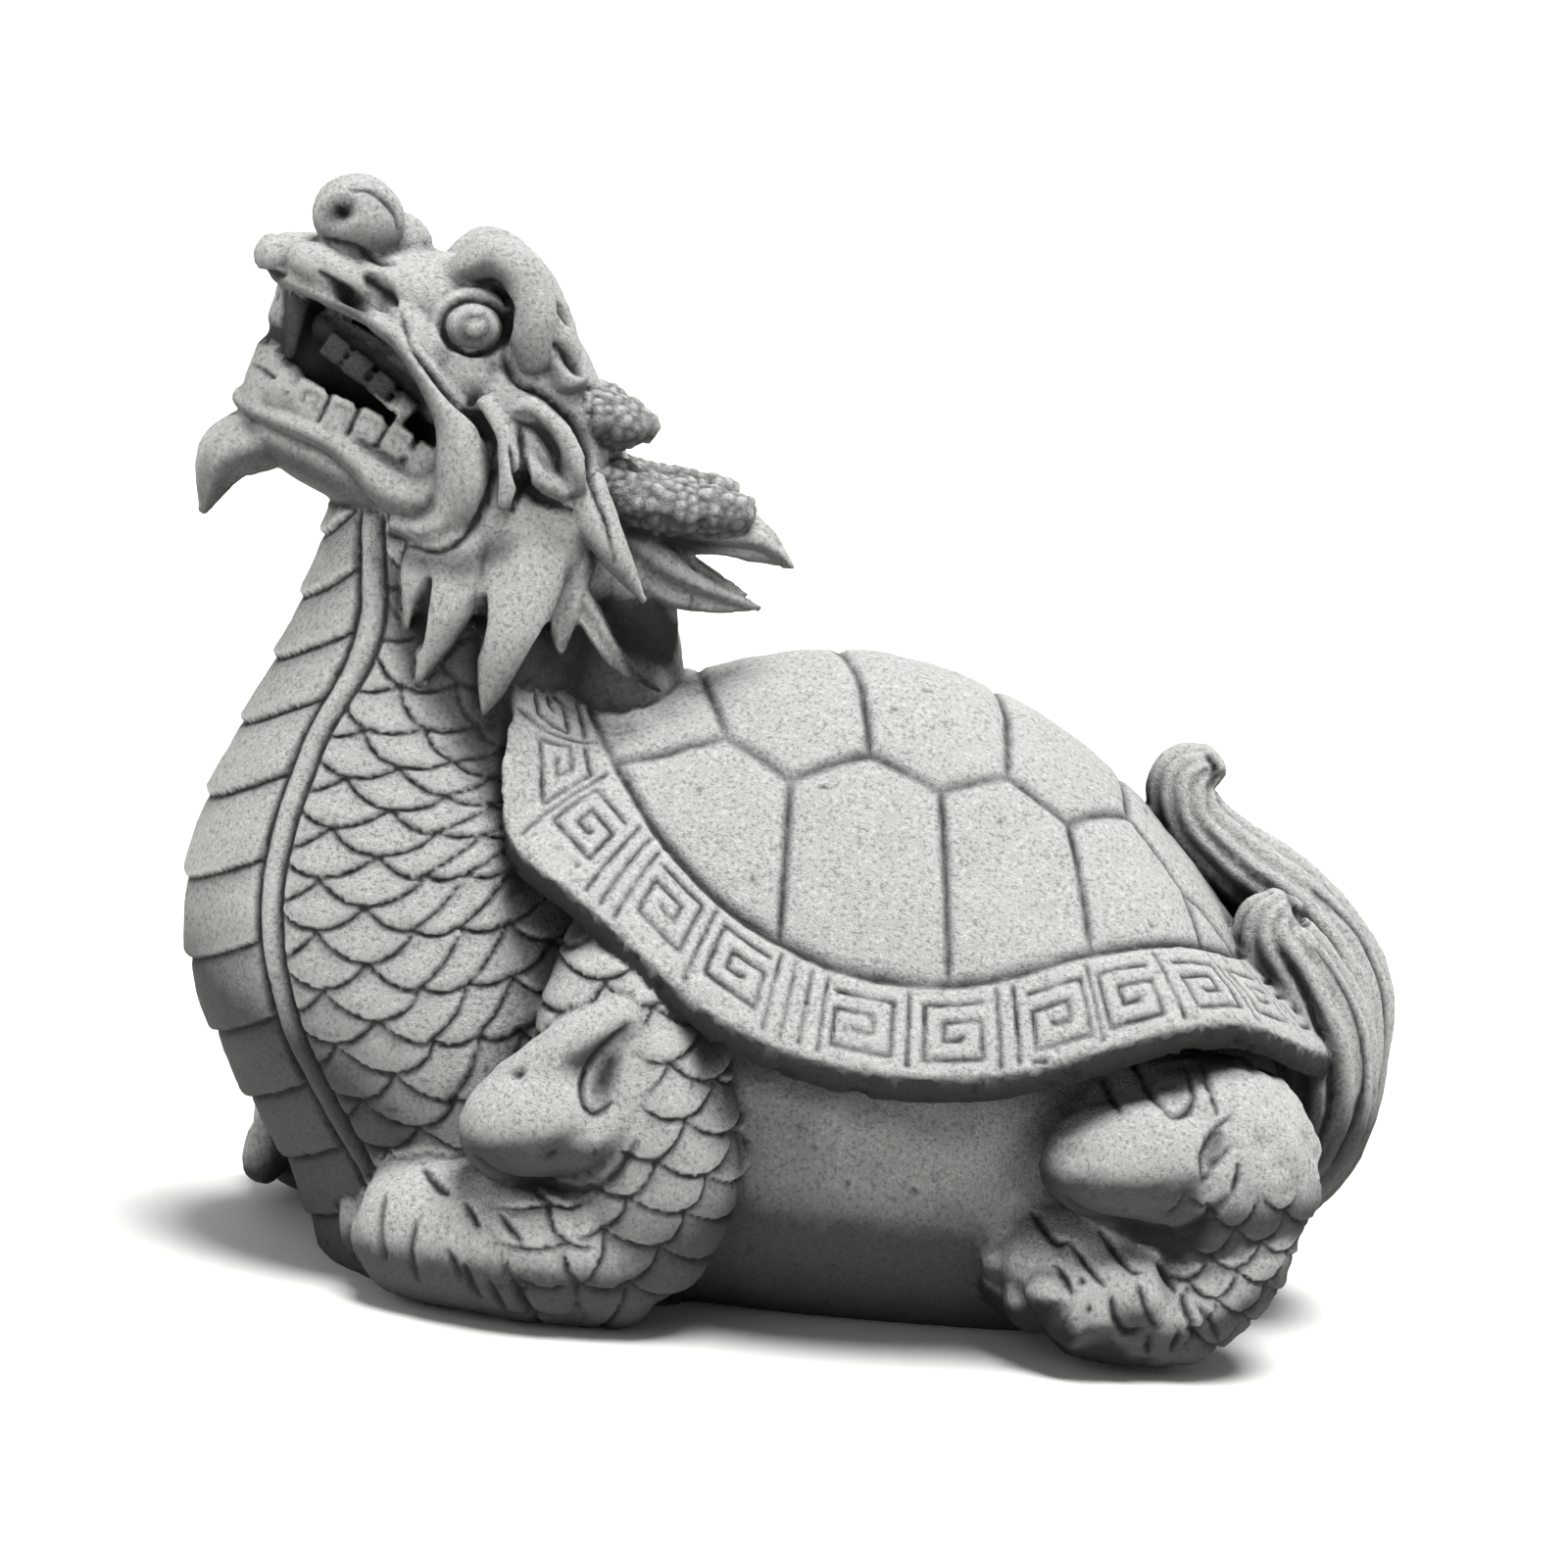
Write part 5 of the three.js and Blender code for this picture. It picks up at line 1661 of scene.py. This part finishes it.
@dataclass
class Mane(Part):
    """Pointed locks that fan from the cheek over the neck and shell, and two knobbed horns."""

    pad: Row = (-71, 20, 180, 20, 10, 22)  # the cheek's broad pad: its middle and half sizes
    # Locks that hang from the pad, broad and plain.
    beard: tuple[Rows, ...] = (
        ((-88, 20, 178, 7, 6), (-93, 25, 166, 5, 4), (-95, 27, 154, 0.9, 0.9)),
        (
            (-83, 21, 182, 10, 7), (-86, 28, 164, 7.5, 5.2), (-89, 30, 152, 4.2, 3.4),
            (-92, 31, 142, 0.8, 0.8),
        ),
        (
            (-70, 21, 182, 13, 8), (-71, 29, 163, 9.5, 6), (-73, 32, 151, 6.5, 4.6),
            (-76.5, 33, 136, 0.8, 0.8),
        ),
        ((-58, 23, 190, 6, 5), (-50, 27.5, 177, 4.2, 3.4), (-41, 27, 165, 0.8, 0.8)),
    )
    # Locks that fan back over the neck and shell, with sharp ridges.
    locks: tuple[Rows, ...] = (
        ((-60, 20, 176, 9, 6), (-60, 24, 162, 6, 4), (-59, 25, 151, 1.2, 1.2)),
        (
            (-62, 20, 172, 6, 5), (-53, 25, 160, 3.6, 3.2), (-46, 26, 151, 2.6, 2.4),
            (-35, 24, 144, 0.9, 0.9),
        ),
        ((-50, 10, 180, 12, 7), (-36, 14, 171, 8, 5), (-24, 14, 166.5, 4.6, 3.6), (-12, 12, 164, 0.9, 0.9)),
        ((-36, 11, 181, 6, 5), (-23, 12, 179.5, 4, 4), (-14, 12, 179.5, 5, 4), (-5, 12, 174.5, 0.9, 0.9)),
    )
    web: Rows = ((-52, 8, 176, 14, 10), (-42, 9, 160, 12, 9), (-31, 7, 147, 3, 3))
    horns: tuple[Rows, ...] = (
        ((-60, 11, 206, 8, 7.5), (-50, 14, 205, 6.5, 6.5), (-42, 15, 204.5, 3.4, 3.6)),
        ((-54, 12, 189, 9, 8), (-40, 15, 187, 7, 7), (-27, 16, 186.5, 6.2, 6), (-18, 16, 186.5, 4.6, 4.4)),
    )

    def masses(self) -> list[Skin]:
        """The pad that runs into the skull on both sides."""
        x, y, z, long, wide, high = self.pad
        half = egg(Form.CHEEK, (x, y, z), (long, wide, high), 0)
        return [half, half.mirrored()]

    def details(self) -> list[Skin]:
        """Locks and horns on both sides."""
        half = [Spine(rows).skin(Form.CHEEK, 40) for rows in self.beard]
        half.append(Spine(self.web).skin(Form.WEB, 40))
        for k, rows in enumerate(self.locks):
            half.append(Spine(rows).skin(Form.MANE, 56, flutes=Flutes(4, 2.2, 0.7 * k)))
        half += [Spine(rows).skin(Form.HORN, 40) for rows in self.horns]
        return half + [s.mirrored() for s in half]

    def carve(self, work: Carving) -> None:
        """Pebbles the horns with painted shade between the pebbles, and paints shadow on the web between the
        locks.
        """
        web = work.pick(Form.WEB, Form.MANE)
        # Painted shadow on the web between the locks.
        for outline in self.hollows():
            ShadowPatch(outline, 1.1, 2.5).paint_shadow(work, web)
        where = work.pick(Form.HORN)
        p = work.points[where]
        pebbles = pebbled(p, 3.0, 51)
        work.lift[where] += 0.8 * pebbles - 0.4 + 0.4 * lumps(p, 2.4, 52)
        # Painted shade in the gaps between the pebbles.
        work.darken(where, 0.65 * (1 - pebbles))

    def hollows(self) -> list[Rows]:
        """Outlines of painted shadows: under the broad leaf and over it."""
        return [
            [
                (-55, 168), (-44, 166), (-41, 170), (-34, 164), (-28, 159), (-30, 140), (-40, 142),
                (-46, 150),
            ],
            [
                (-50, 182), (-40, 182), (-31, 181), (-22, 180), (-23, 176), (-31, 174), (-40, 176),
                (-50, 178),
            ],
        ]


# Finish


def linear(colour: str) -> Row:
    """An sRGB hex colour as linear light."""
    parts = [int(colour[k : k + 2], 16) / 255 for k in (1, 3, 5)]
    r, g, b = (c / 12.92 if c <= 0.04045 else ((c + 0.055) / 1.055) ** 2.4 for c in parts)
    return r, g, b, 1.0


def add_node(
    tree: Tree,
    kind: str,
    settings: dict[str | int, object] | None = None,
    links: dict[str | int, object] | None = None,
) -> Node:
    """Adds a node.

    Args:
        tree: where it goes.
        kind: its type.
        settings: properties of the node by name, or values for its inputs by name or number.
        links: sockets that feed its inputs, by name or number.

    Returns:
        The node.
    """
    node = tree.nodes.new(kind)
    for name, value in (settings or {}).items():
        if isinstance(name, str) and hasattr(node, name):
            setattr(node, name, value)
        else:
            node.inputs[name].default_value = value
    for name, source in (links or {}).items():
        tree.links.new(source, node.inputs[name])
    return node


@dataclass(frozen=True)
class CastStone:
    """Cast stone: granite grit in grey cement, cast and left matt.

    The grit gives the eye a close salt-and-pepper speckle. Shade is painted almost black into the cuts,
    hollows and sheltered places and dark on faces turned down, while handled edges stay pale.
    """

    name: str = "cast_stone_granite_grit"
    body: str = "#acadaa"
    pale_grit: str = "#bfc0bc"
    dark_grit: str = "#8b8c89"
    worn_edge: str = "#cacac6"
    # Painted shade: near black for cuts, hollows and sheltered places, and a dark grey for faces turned down.
    painted_deep_shade: str = "#1d1d1c"
    painted_underside_shade: str = "#333331"
    grit: float = 1.1  # the grains' width, drawn a little coarse so that it shows
    fine_grit: float = 0.55
    mottle: float = 22.0
    roughness: float = 0.94

    def build(self) -> bpy.types.Material:
        """The stone's node material."""
        made = bpy.data.materials.new(self.name)
        made.use_nodes = True
        tree = made.node_tree
        tree.nodes.clear()
        place = add_node(tree, "ShaderNodeTexCoord").outputs["Object"]
        coarse = self.speckle(tree, place, self.grit)
        fine = self.speckle(tree, place, self.fine_grit)
        cloud = self.speckle(tree, place, self.mottle)
        colour = linear(self.body)
        for pattern, low, high, tone, amount in (
            (coarse, 0.54, 0.68, self.pale_grit, 1.0), (coarse, 0.46, 0.34, self.dark_grit, 1.0),
            (fine, 0.42, 0.3, self.dark_grit, 0.55), (cloud, 0.5, 0.8, self.pale_grit, 0.3),
        ):
            share = self.ramp(tree, pattern, low, high)
            colour = self.mixed(tree, colour, linear(tone), share, amount)
        # Worn edges lighten; painted shade darkens faces turned down, sheltered places and cuts and hollows.
        for attribute, tone, amount in (
            ("edge", self.worn_edge, 0.7), ("low", self.painted_underside_shade, 0.92),
            ("sheltered", self.painted_deep_shade, 0.85), ("recess", self.painted_deep_shade, 0.95),
        ):
            given = add_node(tree, "ShaderNodeAttribute", {"attribute_name": attribute})
            colour = self.mixed(tree, colour, linear(tone), given.outputs["Fac"], amount)
        height = add_node(tree, "ShaderNodeMath", {"operation": "ADD"}, {0: coarse, 1: fine})
        rough = {"Strength": 0.7, "Distance": 0.45 * MM}
        relief = add_node(tree, "ShaderNodeBump", rough, {"Height": height.outputs[0]})
        matt = {"Roughness": self.roughness, "Specular IOR Level": 0.25, "IOR": 1.5}
        links = {"Base Color": colour, "Normal": relief.outputs[0]}
        shader = add_node(tree, "ShaderNodeBsdfPrincipled", matt, links)
        add_node(tree, "ShaderNodeOutputMaterial", {}, {"Surface": shader.outputs[0]})
        return made

    def speckle(self, tree: Tree, place: Socket, size: float) -> Socket:
        """A cloudy pattern whose patches are a size in millimetres across."""
        settings = {"Scale": 1 / (size * MM), "Detail": 2.0, "Roughness": 0.6}
        return add_node(tree, "ShaderNodeTexNoise", settings, {"Vector": place}).outputs["Fac"]

    def ramp(self, tree: Tree, value: Socket, low: float, high: float) -> Socket:
        """A soft step of a pattern, from 0 at low to 1 at high."""
        settings = {"interpolation_type": "SMOOTHSTEP"}
        settings |= {"From Min": min(low, high), "From Max": max(low, high)}
        if low > high:
            settings |= {"To Min": 1.0, "To Max": 0.0}
        return add_node(tree, "ShaderNodeMapRange", settings, {"Value": value}).outputs[0]

    def mixed(self, tree: Tree, under: Row | Socket, over: Row, share: Socket, amount: float = 1.0) -> Socket:
        """One colour laid over another by a pattern.

        Args:
            tree: the material's tree.
            under: the colour below, or the socket that gives it.
            over: the colour on top.
            share: the pattern.
            amount: how much of the top colour shows at most.

        Returns:
            The socket of the mixed colour.
        """
        settings = {"operation": "MULTIPLY", "use_clamp": True, 1: amount}
        strength = add_node(tree, "ShaderNodeMath", settings, {0: share})
        mix = add_node(tree, "ShaderNodeMix", {"data_type": "RGBA", 7: over}, {0: strength.outputs[0]})
        if isinstance(under, tuple):
            mix.inputs[6].default_value = under
        else:
            tree.links.new(under, mix.inputs[6])
        return mix.outputs[2]


# The whole figure


@dataclass
class Figure:
    """The whole figure, carved from its forms into one piece."""

    blend_voxel: float = 1.3
    voxel: float = 0.68
    quick_voxel: float = 1.15
    blend_rounds: int = 14
    triangles: int = 196000
    sky_rays: int = 16
    sky_reach: float = 60.0
    sky_dip: float = 1.2  # how far down from straight up the rays go, 1 at the horizon
    sky_clear: float = 0.8  # how far off the skin they start
    grazing: float = 0.12  # a ray nearer to the skin's plane than this is left out
    relief_gain: float = 1.1  # makes up for what the evening takes out of the carving
    # How strongly painted shade is laid into cuts, small hollows and broad hollows.
    cut_dark: float = 0.93
    hollow_dark: float = 1.6
    deep_dark: float = 0.35
    edge_wear: float = 1.8

    def parts(self) -> list[Part]:
        """The sub-assemblies in order."""
        legs = [FrontLeg(-1.0, 0.0), FrontLeg(1.0, 22.0), BackLeg(-1.0), BackLeg(1.0)]
        return [Neck(), Barrel(), *legs, Shell(), Tail(), Head(), Mane()]

    def joined(self, name: str, skins: list[Skin], voxel: float, rounds: int) -> Thing:
        """Joins surfaces into one closed mesh of even facets and softens where they meet.

        Args:
            name: the object's name.
            skins: the surfaces.
            voxel: the facets' size.
            rounds: how often it is softened.

        Returns:
            The joined object.
        """
        made = object_of(name, skins)
        remesh = made.modifiers.new("join", "REMESH")
        remesh.mode = "VOXEL"
        remesh.voxel_size = voxel * MM
        soften = made.modifiers.new("soften", "SMOOTH")
        soften.iterations = rounds
        soften.factor = 0.5
        return settled(made)

    def build(self) -> Thing:
        """Joins, carves and thins the figure's mesh."""
        voxel = self.voxel
        parts = self.parts()
        masses = [s for part in parts for s in part.masses()]
        details = [s for part in parts for s in part.details()]
        soft = skin_of(self.joined("masses", masses, self.blend_voxel, self.blend_rounds), Form.BELLY)
        log.info("masses joined: %d points", len(soft.points))
        figure = self.joined("dragon_turtle_stone", [soft, *details], voxel, 2)
        log.info("figure joined: %d points", len(figure.data.vertices))
        work = self.carving(figure, soft, masses, details)
        for part in parts:
            part.carve(work)
            log.info("carved %s", type(part).__name__)
        self.ease_joints(figure, work)
        self.weather(work)
        self.press(figure, work)
        self.thin(figure)
        self.trim(figure)
        self.shelter(figure)
        return figure

    def forms_at(self, points: Array, known: Array, forms: Array) -> Array:
        """The form of the nearest known point to each point."""
        tree = KDTree(len(known))
        for i, p in enumerate(known):
            tree.insert(p, i)
        tree.balance()
        return forms[np.fromiter((tree.find(p)[1] for p in points), int, len(points))]

    def carving(self, figure: Thing, soft: Skin, masses: list[Skin], details: list[Skin]) -> Carving:
        """Tells each point of the joined figure which form it is on.

        Args:
            figure: the joined figure.
            soft: the joined masses.
            masses: the masses it was made from.
            details: what was joined to it.

        Returns:
            The carving to fill.
        """
        points = points_of(figure)
        of_mass = np.concatenate([np.full(len(s.points), int(s.form)) for s in masses])
        of_detail = np.concatenate([np.full(len(s.points), int(s.form)) for s in details])
        mass = self.forms_at(soft.points, np.vstack([s.points for s in masses]), of_mass)
        known = np.vstack([soft.points, *(s.points for s in details)])
        forms = self.forms_at(points, known, np.append(mass, of_detail))
        edges = edges_of(figure.data)
        best = np.zeros(len(forms))
        settled_forms = forms.copy()
        for form in np.unique(forms):
            share = averaged((forms == form).astype(float), edges, 5)
            settled_forms[share > best] = form
            best = np.maximum(best, share)
        return Carving(points, normals_of(figure.data), settled_forms)

    def ease_joints(self, figure: Thing, work: Carving) -> None:
        """Fades the relief where the shell meets the other forms."""
        share = averaged((work.forms == Form.SHELL).astype(float), edges_of(figure.data), 8)
        work.lift *= smooth(0.1, 0.85, np.abs(2 * share - 1))

    def weather(self, work: Carving) -> None:
        """Adds the unevenness of a hand-finished casting, and pits with painted shade in them."""
        p = work.points
        work.lift += 0.22 * lumps(p, 6.5, 61) + 0.16 * lumps(p, 2.4, 62)
        pits = smooth(0.8, 0.97, lumps(p, 4.1, 63))
        work.lift -= 0.5 * pits
        # Painted shade in the pits.
        work.shade = np.maximum(work.shade, 0.5 * pits)

    def press(self, figure: Thing, work: Carving) -> None:
        """Moves the points by the carving and notes as attributes the painted shade in cuts and hollows, the
        pale worn edges and the painted shade on faces turned down.
        """
        mesh = figure.data
        edges = edges_of(mesh)
        lift = self.relief_gain * averaged(work.lift, edges, 2)
        moved = work.points + work.normals * lift[:, None]
        calm = averaged(moved, edges, 6)
        hollow = ((calm - moved) * work.normals).sum(1)
        broad = averaged(calm, edges, 30)
        deep = ((broad - moved) * work.normals).sum(1)
        # Painted shade in cuts, small hollows and broad hollows.
        recess = self.cut_dark * work.shade + self.hollow_dark * np.clip(hollow, 0, 1)
        recess = np.clip(recess + self.deep_dark * np.clip(deep, 0, 2), 0, 1)
        edge = np.clip(-self.edge_wear * hollow - 0.15, 0, 1) * (1 - recess)
        # Painted shade on faces turned down, stronger towards the floor, and on the belly darker towards the
        # floor.
        down = smooth(0.15, -0.5, work.normals[:, 2])
        low = np.clip(down * (0.9 + smooth(150, 20, work.points[:, 2])), 0, 1)
        belly = work.forms == Form.BELLY
        low = np.where(belly, np.maximum(low, smooth(50, 8, work.points[:, 2])), low)
        mesh.vertices.foreach_set("co", (moved * MM).astype(np.float32).ravel())
        for name, values in (("recess", recess), ("edge", edge), ("low", low)):
            note(mesh, name, values)
        mesh.update()

    def thin(self, figure: Thing) -> None:
        """Takes facets out of the plain places until the mesh has its number of triangles."""
        now = sum(len(p.vertices) - 2 for p in figure.data.polygons)
        thinner = figure.modifiers.new("thin", "DECIMATE")
        thinner.ratio = min(1.0, self.triangles / now)
        thinner.use_collapse_triangulate = True
        settled(figure)

    def trim(self, figure: Thing) -> None:
        """Cuts the foot flat on the floor and leaves one closed body."""
        made = bmesh.new()
        made.from_mesh(figure.data)
        everything = [*made.verts, *made.edges, *made.faces]
        floor = {"plane_co": (0, 0, 0), "plane_no": (0, 0, 1)}
        bmesh.ops.bisect_plane(made, geom=everything, dist=1e-7, clear_inner=True, **floor)
        for v in made.verts:
            if v.co.z < 1e-6:
                v.co.z = 0.0
        rim = [e for e in made.edges if e.is_boundary]
        foot = bmesh.ops.triangle_fill(made, edges=rim, normal=(0, 0, -1), use_beauty=True)
        bmesh.ops.triangulate(made, faces=made.faces)
        bmesh.ops.recalc_face_normals(made, faces=made.faces)
        log.info("foot: %d faces", len(foot["geom"]))
        made.to_mesh(figure.data)
        made.free()
        self.keep_largest(figure)

    def keep_largest(self, figure: Thing) -> None:
        """Removes every closed body but the largest, such as bubbles left inside where forms meet."""
        edges = edges_of(figure.data)
        label = np.arange(len(figure.data.vertices))
        while True:
            low = np.minimum(label[edges[:, 0]], label[edges[:, 1]])
            fresh = label.copy()
            np.minimum.at(fresh, edges[:, 0], low)
            np.minimum.at(fresh, edges[:, 1], low)
            fresh = fresh[fresh]
            if np.array_equal(fresh, label):
                break
            label = fresh
        numbers, counts = np.unique(label, return_counts=True)
        log.info("bodies: %s", sorted(counts.tolist())[::-1][:8])
        if len(numbers) > 1:
            stray = label != numbers[counts.argmax()]
            made = bmesh.new()
            made.from_mesh(figure.data)
            made.verts.ensure_lookup_table()
            bmesh.ops.delete(made, geom=[made.verts[i] for i in np.flatnonzero(stray)], context="VERTS")
            made.to_mesh(figure.data)
            made.free()

    def shelter(self, figure: Thing) -> None:
        """Notes how much of the open air over each point the figure itself hides, which is painted as shade.
        """
        mesh = figure.data
        points = points_of(figure) * MM
        normals = normals_of(mesh)
        tree = BVHTree.FromPolygons(points.tolist(), [tuple(p.vertices) for p in mesh.polygons])
        count = self.sky_rays
        height = 1 - (np.arange(count) + 0.5) / count * self.sky_dip
        turn = np.arange(count) * math.pi * (3 - math.sqrt(5))
        flat = np.sqrt(1 - height**2)
        ways = np.column_stack([flat * np.cos(turn), flat * np.sin(turn), height])
        facing = np.clip(normals @ ways.T, 0, 1)
        facing[facing < self.grazing] = 0
        hidden = np.zeros(len(points))
        start = points + normals * self.sky_clear * MM
        for k, way in enumerate(ways):
            aim = Vector(way)
            for i in np.flatnonzero(facing[:, k]):
                if tree.ray_cast(Vector(start[i]), aim, self.sky_reach * MM)[0]:
                    hidden[i] += facing[i, k]
        share = hidden / np.maximum(facing.sum(1), 0.2)
        share = averaged(share, edges_of(mesh), 2)
        # Painted shade from the hidden share, weaker on faces turned up.
        share = smooth(0.08, 0.8, share) * (1 - 0.6 * smooth(0.5, 0.95, normals[:, 2]))
        note(mesh, "sheltered", share)
        log.info("sheltered: mean %.2f", share.mean())


@dataclass(frozen=True)
class Studio:
    """A plain pale floor, soft light from above and a camera at the photograph's angle."""

    azimuth: float = -8.0
    elevation: float = 9.0
    roll: float = 6.0
    distance: float = 1200.0
    target: Row = (0.0, 0.0, 120.6)
    lens: float = 114.4

    def build(self) -> None:
        """Makes camera, floor, lights and the pale surroundings."""
        self.camera()
        self.floor()
        self.lamp("overhead", (0.12, -0.14, 1.0), 5.2, 30)
        self.lamp("left", (-1.0, -0.7, 0.45), 0.5, 60)
        world = bpy.data.worlds.new("pale_room")
        world.use_nodes = True
        world.node_tree.nodes["Background"].inputs[0].default_value = linear("#f4f4f2")
        world.node_tree.nodes["Background"].inputs[1].default_value = 0.18
        bpy.context.scene.world = world
        bpy.context.scene.view_settings.view_transform = "Standard"

    def camera(self) -> None:
        """Sets the camera up, turned about its own axis as the photograph is."""
        a, e = math.radians(self.azimuth), math.radians(self.elevation)
        back = Vector((math.sin(a) * math.cos(e), -math.cos(a) * math.cos(e), math.sin(e)))
        data = bpy.data.cameras.new("camera")
        data.lens = self.lens
        data.sensor_width = 36
        made = new_object("camera", data)
        made.location = (Vector(self.target) + back * self.distance) * MM
        turn = (-back).to_track_quat("-Z", "Y").to_matrix() @ Matrix.Rotation(math.radians(self.roll), 3, "Z")
        made.rotation_euler = turn.to_euler()
        bpy.context.scene.camera = made

    def floor(self) -> None:
        """A wide pale floor that curves up behind the figure."""
        profile = [(-3.0, 0.0), (1.0, 0.0)]
        profile += [(1.0 + 1.2 * math.sin(t), 1.2 - 1.2 * math.cos(t)) for t in np.linspace(0.1, 1.5, 15)]
        profile += [(2.25, 4.0)]
        points = [(x, y, z) for y, z in profile for x in (-4.0, 4.0)]
        faces = [(2 * i, 2 * i + 1, 2 * i + 3, 2 * i + 2) for i in range(len(profile) - 1)]
        mesh = bpy.data.meshes.new("floor")
        mesh.from_pydata(points, [], faces)
        mesh.shade_smooth()
        made = new_object("floor", mesh)
        paint = bpy.data.materials.new("pale_floor")
        paint.use_nodes = True
        shader = paint.node_tree.nodes["Principled BSDF"]
        shader.inputs["Base Color"].default_value = linear("#efefed")
        shader.inputs["Roughness"].default_value = 0.9
        mesh.materials.append(paint)

    def lamp(self, name: str, towards: Row, power: float, spread: float) -> None:
        """A broad soft light from a direction, as wide as a spread in degrees."""
        data = bpy.data.lights.new(name, "SUN")
        data.angle = math.radians(spread)
        data.energy = power
        new_object(name, data).rotation_euler = Vector(towards).to_track_quat("Z", "Y").to_euler()


def main() -> None:
    """Builds the studio and the figure, and reports each piece."""
    logging.basicConfig(level=logging.INFO, format="%(name)s: %(message)s")
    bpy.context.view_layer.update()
    Studio().build()
    figure = Figure().build()
    figure.data.materials.clear()
    figure.data.materials.append(CastStone().build())
    figure.data.shade_smooth()
    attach(figure, "root")
    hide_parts("dragon_turtle")
    log.info("%s: %d faces", figure.name, len(figure.data.polygons))


if __name__ == "__main__":
    main()
